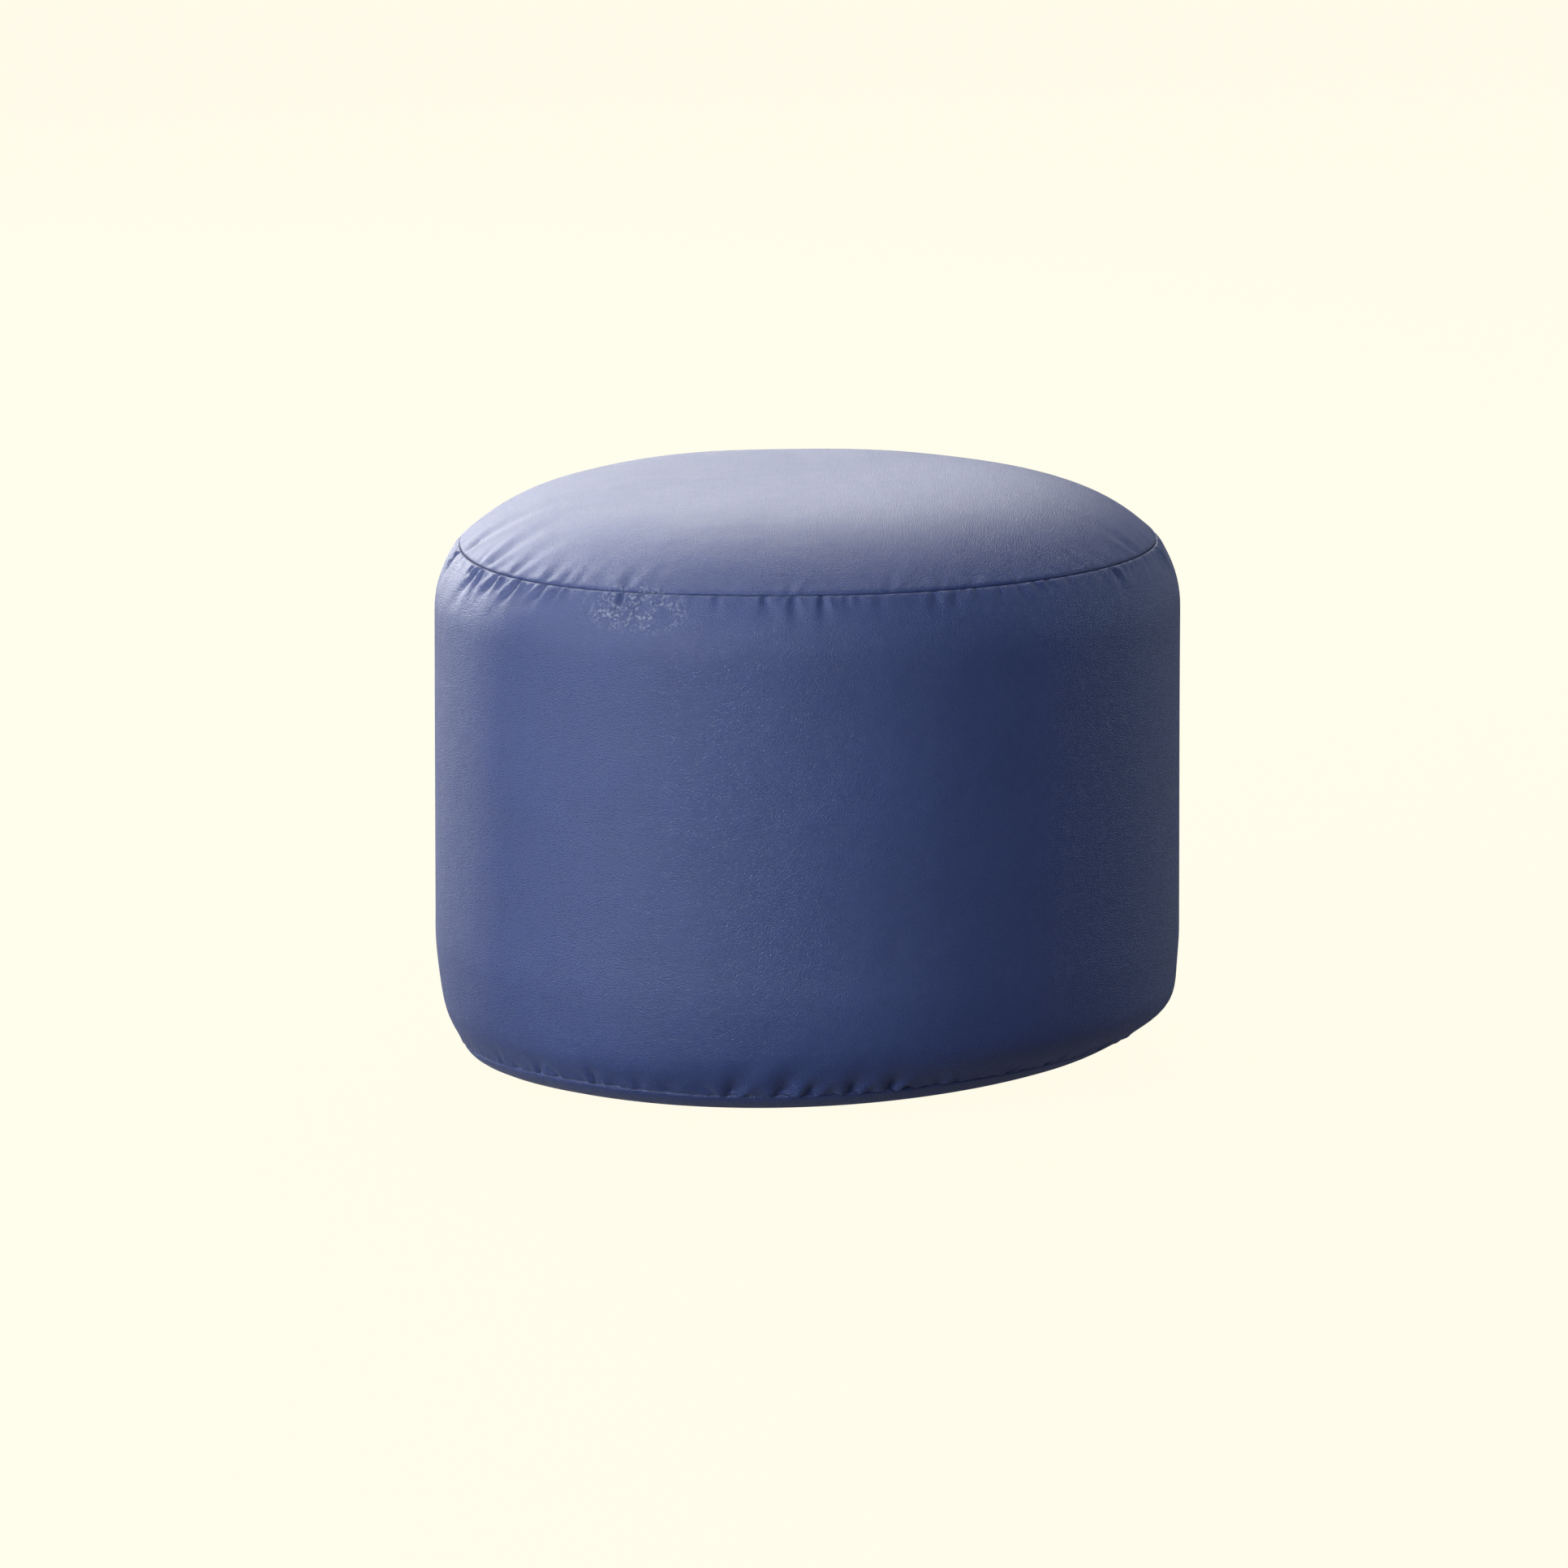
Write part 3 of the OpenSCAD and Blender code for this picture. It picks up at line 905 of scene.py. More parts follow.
@dataclass
class SewnDrum:
    """A drum of cloth, shaped as one closed skin and then cut apart along its seams."""

    drum: Drum
    gathers: dict[Panel, Gathers]
    features: dict[Panel, tuple[Fold, ...]] = field(default_factory=dict)
    slumps: tuple[Slump, ...] = ()
    seed: int = 5
    columns: int = 768
    wedges: int = 32
    longest_row: float = 5 * MM
    seam_round: float = 2.6 * MM
    cloth: float = 1.2 * MM
    allowance: float = 9 * MM
    allowance_tilt: float = 0.4
    unevenness: float = 0.36 * MM
    foot_reach: float = 80 * MM
    swellings: range = range(2, 15)
    swelling_drift: float = 4.0
    swelling_fade: float = 0.4

    def __post_init__(self) -> None:
        """Lays out the rows from the crown's centre to the base's centre."""
        crown, wall, base = self.drum.crown(), self.drum.wall(), self.drum.base()
        first = self.seam_round / 4
        longest = self.longest_row
        top = graded(length_of(crown), first, growth=1.22, largest=1.1 * longest)
        half = length_of(wall) / 2
        upper = graded(half, first, growth=1.2, largest=longest)
        lower = 2 * half - upper[::-1]
        foot = graded(length_of(base), first, growth=1.3, largest=2 * longest)
        side = np.concatenate((upper, lower[1:]))
        points = [along(crown, top)[::-1], along(wall, side)[1:], along(base, foot)[1:]]
        self.rows = np.vstack(points)
        self.top_row = len(top) - 1
        self.base_row = self.top_row + len(side) - 1
        lengths = lengths_along(self.rows)
        self.below_top = lengths - lengths[self.top_row]
        self.below_base = lengths - lengths[self.base_row]
        tangent = np.gradient(self.rows, lengths, axis=0)
        tangent[0] = (1.0, 0.0)
        tangent[-1] = (-1.0, 0.0)
        tangent /= np.linalg.norm(tangent, axis=1)[:, None]
        self.normals = np.column_stack((-tangent[:, 1], tangent[:, 0]))

    def skin(self) -> bpy.types.Mesh:
        """Spins the rows into the whole closed skin and shapes it.

        Returns:
            The mesh, whose points know their row.
        """
        form = bmesh.new()
        points = [form.verts.new((0.0, -radius, height)) for radius, height in self.rows]
        edges = [form.edges.new(pair) for pair in zip(points, points[1:])]
        wedge = FULL_TURN / self.wedges
        bmesh.ops.spin(
            form,
            geom=points + edges,
            cent=(0, 0, 0),
            axis=(0, 0, 1),
            angle=wedge,
            steps=self.columns // self.wedges,
            use_merge=False,
        )
        bmesh.ops.remove_doubles(form, verts=form.verts, dist=WELD)
        places = [Matrix.Rotation(wedge * turn, 4, "Z") for turn in range(self.wedges)]
        form = repeated(form, places, WELD)
        bmesh.ops.recalc_face_normals(form, faces=form.faces)
        row_of = form.verts.layers.int.new("row")
        height_of = self.rows[:, 1]
        for point in form.verts:
            radius = math.hypot(point.co.x, point.co.y)
            gap = (self.rows[:, 0] - radius) ** 2 + (height_of - point.co.z) ** 2
            point[row_of] = int(gap.argmin())
        mesh = bpy.data.meshes.new("skin")
        form.to_mesh(mesh)
        form.free()
        self.shape(mesh)
        return mesh

    def relief(self, row: np.ndarray, angle: np.ndarray) -> np.ndarray:
        """How far the folds and the seams' rounding move the cloth along its normal.

        Args:
            row: Each point's row.
            angle: Each point's azimuth in radians.

        Returns:
            The move, outwards being positive.
        """
        move = np.zeros(len(row))
        below_top, below_base = self.below_top[row], self.below_base[row]
        sides = (
            (Panel.TOP, below_top <= 0, -below_top, self.rows[self.top_row, 0]),
            (Panel.SIDE, (row > self.top_row) & (row < self.base_row), below_top, self.drum.radius),
            (Panel.BASE, np.abs(below_base) < self.foot_reach, -below_base, self.rows[self.base_row, 0]),
        )
        for panel, chosen, away, radius in sides:
            folds = self.gathers[panel].folds(radius) + list(self.features.get(panel, ()))
            for fold in folds:
                near = chosen & (away >= 0) & (away < FOLD_LENGTHS * fold.length * MM)
                side = np.abs(wrapped(angle - math.radians(fold.azimuth))) * radius
                near &= side < FOLD_WIDTHS * fold.width * MM + abs(fold.lean) * away
                move[near] += fold.relief(angle[near], away[near], radius)
        move += self.uneven(row, angle)
        for distance in (np.abs(below_top), np.abs(below_base)):
            inside = np.clip(self.seam_round - distance, 0, None)
            move -= self.seam_round - np.sqrt(self.seam_round**2 - inside**2)
        return move

    def uneven(self, row: np.ndarray, angle: np.ndarray) -> np.ndarray:
        """Slow swellings and hollows, which die away at the seams and on the floor.

        Args:
            row: Each point's row.
            angle: Each point's azimuth in radians.

        Returns:
            The move along the normal.
        """
        rng = np.random.default_rng(self.seed)
        height = self.rows[row, 1] / self.drum.top
        move = np.zeros(len(row))
        for turns in self.swellings:
            phase, drift = rng.random() * FULL_TURN, rng.normal() * self.swelling_drift
            weight = rng.random() / turns**self.swelling_fade
            move += weight * np.cos(turns * angle + phase + drift * height)
        from_seam = np.minimum(np.abs(self.below_top[row]), np.abs(self.below_base[row]))
        held = ramp(from_seam, 0, 30 * MM) * ramp(self.rows[row, 0], 20 * MM, 120 * MM)
        return self.unevenness * move * held * ramp(-self.below_base[row], 0, 10 * MM)

    def lie(self, row: np.ndarray, angle: np.ndarray) -> np.ndarray:
        """How the whole cushion has settled.

        Args:
            row: Each point's row.
            angle: Each point's azimuth in radians.

        Returns:
            The change of radius and height.
        """
        radius, height = self.rows[row, 0] / self.drum.radius, self.rows[row, 1]
        move = np.zeros((len(row), 2))
        for slump in self.slumps:
            move += slump.move(radius, height, angle)
        return move

    def settled(self, row: np.ndarray, angle: np.ndarray, lift: float = 0.0) -> np.ndarray:
        """Where points of the cloth lie.

        Args:
            row: Each point's row.
            angle: Each point's azimuth in radians, from the front towards +X.
            lift: How far above the cloth they stand.

        Returns:
            Their places.
        """
        outline = self.rows[row] + self.lie(row, angle)
        outline = outline + self.normals[row] * (self.relief(row, angle) + lift)[:, None]
        outline[:, 1] = np.maximum(outline[:, 1], self.drum.floor)
        radius = np.maximum(outline[:, 0], 0)
        return np.column_stack((radius * np.sin(angle), -radius * np.cos(angle), outline[:, 1]))

    def round_line(self, row: int, count: int, lift: float) -> np.ndarray:
        """A line round the drum.

        Args:
            row: The row it follows.
            count: How many points it has.
            lift: How far it lies above the cloth.

        Returns:
            Its points.
        """
        angle = np.linspace(-math.pi, math.pi, count)
        return self.settled(np.full(count, row), angle, lift)

    def back_line(self, rows: np.ndarray, lift: float) -> np.ndarray:
        """A line down the middle of the back.

        Args:
            rows: The rows it crosses.
            lift: How far it lies above the cloth.

        Returns:
            Its points.
        """
        return self.settled(rows, np.full(len(rows), math.pi), lift)

    def shape(self, mesh: bpy.types.Mesh) -> None:
        """Moves a spun skin to where its cloth lies.

        Args:
            mesh: The skin.
        """
        count = len(mesh.vertices)
        row = np.zeros(count, dtype=np.int32)
        mesh.attributes["row"].data.foreach_get("value", row)
        place = np.zeros(count * 3)
        mesh.vertices.foreach_get("co", place)
        place = place.reshape(-1, 3)
        angle = np.arctan2(place[:, 0], -place[:, 1])
        mesh.vertices.foreach_set("co", self.settled(row, angle).ravel())

    def cut_out(self, mesh: bpy.types.Mesh, panel: Panel) -> bmesh.types.BMesh:
        """Cuts one panel out of the skin and turns its seam allowances in.

        Args:
            mesh: The shaped skin.
            panel: Which panel.

        Returns:
            The panel.
        """
        first, last = {
            Panel.TOP: (0, self.top_row),
            Panel.SIDE: (self.top_row, self.base_row),
            Panel.BASE: (self.base_row, len(self.rows) - 1),
        }[panel]
        form = bmesh.new()
        form.from_mesh(mesh)
        row_of = form.verts.layers.int["row"]
        outside = [v for v in form.verts if not first <= v[row_of] <= last]
        bmesh.ops.delete(form, geom=outside, context="VERTS")
        for row in (self.top_row, self.base_row):
            edges = [
                e for e in form.edges if e.is_boundary and all(v[row_of] == row for v in e.verts)
            ]
            if edges:
                self.turn_in(form, edges, row, panel)
        return form

    def turn_in(
        self, form: bmesh.types.BMesh, edges: list[bmesh.types.BMEdge], row: int, panel: Panel
    ) -> None:
        """Folds a panel's edge inwards along its seam.

        Args:
            form: The panel.
            edges: The edges on the seam.
            row: The seam's row.
            panel: Which panel.
        """
        tilt = 0.0
        if panel is Panel.SIDE:
            tilt = -self.allowance_tilt if row == self.top_row else self.allowance_tilt
        inward = -self.normals[row]
        turned = Vector((inward[0], inward[1] + tilt)).normalized()
        row_of = form.verts.layers.int["row"]
        for share in (0.3, 0.7):
            made = bmesh.ops.extrude_edge_only(form, edges=edges)["geom"]
            points = [g for g in made if isinstance(g, bmesh.types.BMVert)]
            edges = [g for g in made if isinstance(g, bmesh.types.BMEdge)]
            for point in points:
                flat = Vector((point.co.x, point.co.y, 0)).normalized()
                point.co += flat * turned.x * share * self.allowance
                point.co.z += turned.y * share * self.allowance
                point[row_of] = row

    def sew(self, nodes: tuple[str, str, str], cloth: str, finish: Any, slot: Slot) -> None:
        """Makes the three panels.

        Args:
            nodes: The nodes of the top, the side and the base.
            cloth: What the pieces' names end with.
            finish: Their material.
            slot: Their material slot.
        """
        skin = self.skin()
        for panel, node in zip(Panel, nodes):
            piece = self.panel(skin, panel, f"{node}_{cloth}", finish)
            fit_out(piece, Body.CUSHION, slot, node)
        bpy.data.meshes.remove(skin)

    def panel(self, mesh: bpy.types.Mesh, panel: Panel, name: str, finish: Any) -> bpy.types.Object:
        """Makes one panel with its thickness.

        Args:
            mesh: The shaped skin.
            panel: Which panel.
            name: The piece's name.
            finish: Its material.

        Returns:
            The piece.
        """
        form = self.cut_out(mesh, panel)
        self.dress_panel(form, panel)
        piece = shown(name, form, finish)
        thick = piece.modifiers.new("thickness", "SOLIDIFY")
        thick.thickness = self.cloth
        thick.offset = -1
        return piece

    def dress_panel(self, form: bmesh.types.BMesh, panel: Panel) -> None:
        """Adds what a panel has besides its seams: nothing on a plain drum."""


@dataclass
class Cover(SewnDrum):
    """The navy leather cloth cover, with the zip's window in its side band."""

    window_half: float = 0.0
    window_low: float = 0.0
    window_high: float = 0.0
    stitch_inset: float = 3 * MM
    groove: float = 0.9 * MM
    groove_half: float = 1.3 * MM
    stiff_across: tuple[float, float] = (16 * MM, 40 * MM)
    stiff_above: tuple[float, float] = (8 * MM, 20 * MM)
    stiff_below: tuple[float, float] = (12 * MM, 26 * MM)

    def __post_init__(self) -> None:
        """Adds the zip's window, from the rows of stitches and the stops that frame it."""
        super().__post_init__()
        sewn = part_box("zip_thread_right")
        self.window_half = (sewn[0][0] + sewn[1][0]) / 2 - self.stitch_inset
        self.window_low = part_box("zip_lower_stops")[0][2]
        self.window_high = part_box("zip_upper_stop")[1][2]

    def relief(self, row: np.ndarray, angle: np.ndarray) -> np.ndarray:
        """Keeps the cloth smooth beside the zip, where the tapes stiffen it."""
        move = super().relief(row, angle)
        across = np.abs(wrapped(angle - math.pi)) * self.drum.radius
        height = self.rows[row, 1]
        beside = ramp(across, *self.stiff_across)
        above = ramp(height - self.window_high, *self.stiff_above)
        below = ramp(self.window_low - height, *self.stiff_below)
        return move * np.maximum(np.maximum(beside, above), below)

    def dress_panel(self, form: bmesh.types.BMesh, panel: Panel) -> None:
        """Cuts the zip's window and presses the closing seam's groove.

        Args:
            form: The panel.
            panel: Which panel.
        """
        if panel is not Panel.SIDE:
            return
        for across in (-self.window_half, -self.groove_half, 0.0, self.groove_half, self.window_half):
            self.slice_back(form, Vector((across, 0, 0)), Vector((1, 0, 0)))
        for height in (self.window_low, self.window_high):
            self.slice_back(form, Vector((0, 0, height)), Vector((0, 0, 1)))
        gone = []
        for face in form.faces:
            middle = face.calc_center_median()
            beside = abs(middle.x) < self.window_half and middle.y > 0
            if beside and self.window_low < middle.z < self.window_high:
                gone.append(face)
        bmesh.ops.delete(form, geom=gone, context="FACES")
        for point in form.verts:
            near = 1 - abs(point.co.x) / self.groove_half
            outside = not self.window_low - MM < point.co.z < self.window_high + MM
            if near > 0 and point.co.y > 0 and outside:
                point.co.y -= self.groove * near
        rim = [e for e in form.edges if e.is_boundary and self.on_window(e)]
        made = bmesh.ops.extrude_edge_only(form, edges=rim)["geom"]
        for point in (g for g in made if isinstance(g, bmesh.types.BMVert)):
            point.co.y -= self.cloth

    def on_window(self, edge: bmesh.types.BMEdge) -> bool:
        """Whether an edge lies on the window's rim."""
        low, high = self.window_low - MM / 2, self.window_high + MM / 2
        return all(
            v.co.y > 0 and abs(v.co.x) < self.window_half + MM / 2 and low < v.co.z < high
            for v in edge.verts
        )

    def slice_back(self, form: bmesh.types.BMesh, place: Vector, normal: Vector) -> None:
        """Cuts an edge across the back of the band.

        Args:
            form: The band.
            place: A point of the cut.
            normal: The cut's normal.
        """
        reach = 2.5 * self.window_half
        faces = [
            f for f in form.faces if all(v.co.y > 0 and abs(v.co.x) < reach for v in f.verts)
        ]
        geometry = {g for f in faces for g in (*f.verts, *f.edges, f)}
        bmesh.ops.bisect_plane(
            form, geom=list(geometry), dist=TOUCHING, plane_co=place, plane_no=normal
        )


# --------------------------------------------------------------------------- stitching


@dataclass(frozen=True)
class Stitching:
    """A row of short raised stitches along a path."""

    pitch: float = 3.5 * MM
    radius: float = 0.33 * MM
    share: float = 0.72

    def place(self, middle: Vector, heading: Vector, length: float) -> Matrix:
        """Places one stitch.

        Args:
            middle: The stitch's middle.
            heading: The way it lies.
            length: Its length.

        Returns:
            What turns a ball into the stitch.
        """
        turn = Vector((0, 0, 1)).rotation_difference(heading.normalized()).to_matrix().to_4x4()
        size = Matrix.Diagonal((self.radius, self.radius, length / 2, 1))
        return Matrix.Translation(middle) @ turn @ size

    def sewn(self, places: list[Matrix]) -> bmesh.types.BMesh:
        """Makes every stitch of a row.

        Args:
            places: The stitches' places.

        Returns:
            The row.
        """
        ball = bmesh.new()
        bmesh.ops.create_uvsphere(ball, u_segments=7, v_segments=5, radius=1.0)
        return repeated(ball, places)

    def lay(self, path: np.ndarray, slant: float = 0.0) -> list[Matrix]:
        """Spaces stitches along a path at even lengths.

        Args:
            path: The path's points.
            slant: How far each stitch turns out of the path, in metres at its end.

        Returns:
            The stitches' places.
        """
        length = length_of(path)
        count = max(1, round(length / self.pitch))
        middles = (np.arange(count) + 0.5) * length / count
        half = length / count * self.share / 2
        rise = Vector((0, 0, slant))
        return [
            self.place(Vector((start + stop) / 2), Vector(stop - start) + rise, 2 * half)
            for start, stop in zip(along(path, middles - half), along(path, middles + half))
        ]


def sew_thread(node: str, form: bmesh.types.BMesh, slot: Slot = Slot.THREAD) -> None:
    """Finishes one thread.

    Args:
        node: The node it stands for.
        form: Its stitches.
        slot: Its material slot, which says whose thread it is.
    """
    thread = SewingThread() if slot is Slot.THREAD else SewingThread("white_thread", WHITE)
    piece = shown(node.replace("thread", "stitches"), form, thread.material())
    fit_out(piece, Body.CUSHION, slot, node)


@dataclass
class Seams:
    """The thread of the cover's seams, lying in their grooves."""

    cover: Cover
    stitching: Stitching = Stitching()
    lift: float = 0.1 * MM
    closing_lift: float = -0.55 * MM
    seam_rows: int = 6
    window_gap: float = 5 * MM

    def closing(self) -> list[Matrix]:
        """Places the stitches of the back seam above and below the zip.

        Returns:
            The stitches' places.
        """
        cover = self.cover
        rows = np.arange(cover.top_row + self.seam_rows, cover.base_row - self.seam_rows + 1)
        heights = cover.rows[rows, 1]
        above = rows[heights > cover.window_high + self.window_gap]
        below = rows[heights < cover.window_low - self.window_gap]
        runs = (cover.back_line(run, self.closing_lift) for run in (above, below))
        return [place for path in runs for place in self.stitching.lay(path)]

    def build(self) -> None:
        """Makes the three seams' threads."""
        cover = self.cover
        for seam, row in (("top_seam", cover.top_row), ("base_seam", cover.base_row)):
            places = self.stitching.lay(cover.round_line(row, 1500, self.lift))
            sew_thread(f"{seam}_thread", self.stitching.sewn(places))
        sew_thread("closing_seam_thread", self.stitching.sewn(self.closing()))


# --------------------------------------------------------------------------- the zip


def block(form: bmesh.types.BMesh, low: Vector, high: Vector, round_by: float) -> None:
    """Adds a block with softened edges.

    Args:
        form: The shape so far.
        low: Its lowest corner.
        high: Its highest corner.
        round_by: How far its edges are rounded.
    """
    size = Matrix.Diagonal((*(high - low), 1.0))
    made = bmesh.ops.create_cube(form, size=1.0, matrix=Matrix.Translation((low + high) / 2) @ size)
    rounded(form, edges_of(made["verts"]), round_by)


@dataclass
class Zip:
    """The vertical coil zip: tapes, coils, stops, slider, tab and stitches."""

    stitching: Stitching = Stitching(pitch=3.2 * MM, radius=0.3 * MM)
    tack: Stitching = Stitching(pitch=0.9 * MM, radius=0.3 * MM, share=1.6)
    tack_slant: float = 0.8 * MM
    tape_thickness: float = 0.5 * MM
    tape_sink: float = 0.2 * MM
    tape_droop: float = 0.45 * MM
    tape_wave: float = 0.25 * MM
    coil_pitch: float = 1.35 * MM
    coil_steps: int = 12
    filament: float = 0.3 * MM
    coil_reach: float = 0.2 * MM
    stop_round: float = 0.5 * MM
    plate: float = 1.1 * MM
    plate_taper: float = 0.84
    plate_gap: float = 0.25 * MM
    post_half: float = 0.16 * MM
    post_ends: tuple[float, float] = (1.2 * MM, 3.8 * MM)
    flange_inner: float = 3.3 * MM
    flange: float = 0.45 * MM
    flange_gap: float = 0.3 * MM
    flange_inset: float = 1.5 * MM
    bridge_half: float = 3.7 * MM
    bridge_thick: float = 0.8 * MM
    bridge_width: float = 1.1 * MM
    bridge_sink: float = 0.3 * MM
    tab_window_half: float = 1.45 * MM
    tab_window_depth: float = 6.5 * MM
    tab_foot: float = 2.5 * MM
    tab_skin: float = 0.05 * MM

    def tape(self, side: str) -> None:
        """Makes one tape, whose hidden edges wave a little.

        Args:
            side: "left" or "right".
        """
        node = f"zip_tape_{side}"
        low, high = corners(node)
        low.x, high.x = min(low.x, self.coil_reach), max(high.x, -self.coil_reach)
        form = bmesh.new()
        made = bmesh.ops.create_grid(form, x_segments=8, y_segments=120, size=0.5)["verts"]
        for point in made:
            across, up = point.co.x + 0.5, point.co.y + 0.5
            out = low.x + across * (high.x - low.x)
            loose = (abs(out) / max(abs(low.x), abs(high.x))) ** 3
            wave = self.tape_wave * math.sin(up * 40 + 3 * across) - self.tape_droop
            face = high.y - self.tape_sink + wave * loose
            point.co = Vector((out, face, low.z + up * (high.z - low.z)))
        bmesh.ops.recalc_face_normals(form, faces=form.faces)
        if form.faces[:][0].normal.y < 0:
            bmesh.ops.reverse_faces(form, faces=form.faces)
        bmesh.ops.solidify(form, geom=form.faces[:], thickness=self.tape_thickness)
        outwards(form)
        piece = shown(f"{node}_woven", form, WovenTape().material())
        fit_out(piece, Body.CUSHION, Slot.TAPE, node)

    def coil(self, side: str) -> None:
        """Winds one half of the chain as a filament.

        Args:
            side: "left" or "right".
        """
        node = f"zip_coil_{side}"
        low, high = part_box(node)
        inner = math.copysign(self.coil_reach, low[0] + high[0])
        outer = low[0] if side == "left" else high[0]
        reach = abs(outer - inner) / 2
        height = (high[1] - low[1]) / 2
        turns = round((high[2] - low[2]) / self.coil_pitch)
        form = bmesh.new()
        orbit = height - self.filament
        ring = Matrix.Translation((orbit, 0, self.filament)) @ Matrix.Rotation(math.pi / 2, 4, "X")
        made = bmesh.ops.create_circle(form, segments=6, radius=self.filament, matrix=ring)["verts"]
        rise = (high[2] - low[2] - 2 * self.filament) / turns
        bmesh.ops.spin(
            form,
            geom=made + edges_of(made),
            cent=(0, 0, 0),
            axis=(0, 0, 1),
            dvec=(0, 0, rise / self.coil_steps),
            angle=FULL_TURN,
            steps=self.coil_steps,
            use_merge=False,
        )
        climb = [Matrix.Translation((0, 0, rise * turn)) for turn in range(turns)]
        form = repeated(form, climb, WELD)
        bmesh.ops.holes_fill(form, edges=[e for e in form.edges if e.is_boundary])
        place = Matrix.Translation(((inner + outer) / 2, (low[1] + high[1]) / 2, low[2]))
        mirror = math.copysign(reach / height, inner)
        bmesh.ops.transform(form, matrix=place @ Matrix.Diagonal((mirror, 1, 1, 1)), verts=form.verts)
        outwards(form)
        piece = shown(f"{node}_filament", form, NylonCoil().material())
        fit_out(piece, Body.CUSHION, Slot.COIL, node)

    def stops(self) -> None:
        """Crimps the stops on the chain's ends."""
        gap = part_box("zip_tape_right")[0][0]
        for node, halves in (("zip_lower_stops", 2), ("zip_upper_stop", 1)):
            low, high = corners(node)
            form = bmesh.new()
            if halves == 1:
                block(form, low, high, self.stop_round)
            else:
                block(form, low, Vector((-gap, high.y, high.z)), self.stop_round)
                block(form, Vector((gap, low.y, low.z)), high, self.stop_round)
            outwards(form)
            piece = shown(f"{node}_metal", form, GunmetalPlate().material())
            fit_out(piece, Body.CUSHION, Slot.METAL, node)

    def slab(self, form: bmesh.types.BMesh, near: float, far: float, low: Vector, high: Vector) -> None:
        """Adds one of the slider's plates, wider at its lower end.

        Args:
            form: The slider so far.
            near: The plate's nearer face.
            far: Its farther face.
            low: The slider's lowest corner.
            high: Its highest corner.
        """
        size = Matrix.Diagonal((high.x - low.x, far - near, high.z - low.z, 1.0))
        middle = Vector((0, (near + far) / 2, (low.z + high.z) / 2))
        made = bmesh.ops.create_cube(form, size=1.0, matrix=Matrix.Translation(middle) @ size)["verts"]
        for point in made:
            if point.co.z > middle.z:
                point.co.x *= self.plate_taper
        upright = [e for e in edges_of(made) if thickness_of(e) > (far - near) / 2]
        turned = rounded(form, upright, 1.7 * MM, 4)
        flat = edges_of([v for f in turned for v in f.verts])
        rim = [e for e in flat if thickness_of(e) < TOUCHING and e.calc_face_angle(0) > SHARP]
        rounded(form, rim, 0.3 * MM)

    def slider(self) -> None:
        """Builds the slider: two plates, side walls, the post and the bridge."""
        low, high = corners("zip_slider")
        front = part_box("zip_coil_right")[1][1] + self.plate_gap
        form = bmesh.new()
        self.slab(form, low.y, low.y + self.plate, low, high)
        self.slab(form, front, front + self.plate, low, high)
        middle_of_plate = front + self.plate / 2
        foot, head = (low.z + end for end in self.post_ends)
        block(
            form,
            Vector((-self.post_half, low.y + self.plate / 2, foot)),
            Vector((self.post_half, middle_of_plate, head)),
            0.05 * MM,
        )
        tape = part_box("zip_tape_right")[1][1]
        for side in (-1, 1):
            ends = sorted((side * self.flange_inner, side * (self.flange_inner + self.flange)))
            block(
                form,
                Vector((ends[0], tape + self.flange_gap, low.z + self.flange_inset)),
                Vector((ends[1], middle_of_plate, high.z - self.flange_inset)),
                0.12 * MM,
            )
        self.bridge(form, front + self.plate, low, high)
        outwards(form)
        piece = shown("zip_slider_metal", form, GunmetalPlate().material())
        fit_out(piece, Body.SLIDER, Slot.METAL, "zip_slider")

    def bridge(self, form: bmesh.types.BMesh, foot: float, low: Vector, high: Vector) -> None:
        """Arches the bridge that the tab hangs in.

        Args:
            form: The slider so far.
            foot: Where the bridge stands on the front plate.
            low: The slider's lowest corner.
            high: Its highest corner.
        """
        rise = high.y - foot
        middle = (low.z + high.z) / 2
        thin = self.bridge_thick / 2 / rise
        size = Matrix.Diagonal((self.bridge_width, 1, thin, 1))
        section = Matrix.Translation((0, 0, 1 - thin)) @ size @ Matrix.Rotation(math.pi / 2, 4, "X")
        made = bmesh.ops.create_circle(form, segments=12, radius=1.0, matrix=section)["verts"]
        bmesh.ops.spin(
            form,
            geom=made + edges_of(made),
            cent=(0, 0, 0),
            axis=(1, 0, 0),
            angle=math.pi,
            steps=20,
            use_merge=False,
        )
        arch = [v for v in form.verts if v.co.length > 0.5]  # the slider itself is far smaller
        place = Matrix.Translation((0, foot - self.bridge_sink, middle))
        size = Matrix.Diagonal((1, rise + self.bridge_sink, self.bridge_half, 1))
        lay = Matrix.Rotation(-math.pi / 2, 4, "X")
        bmesh.ops.transform(form, matrix=place @ size @ lay, verts=arch)
        bmesh.ops.holes_fill(form, edges=[e for e in edges_of(arch) if e.is_boundary])

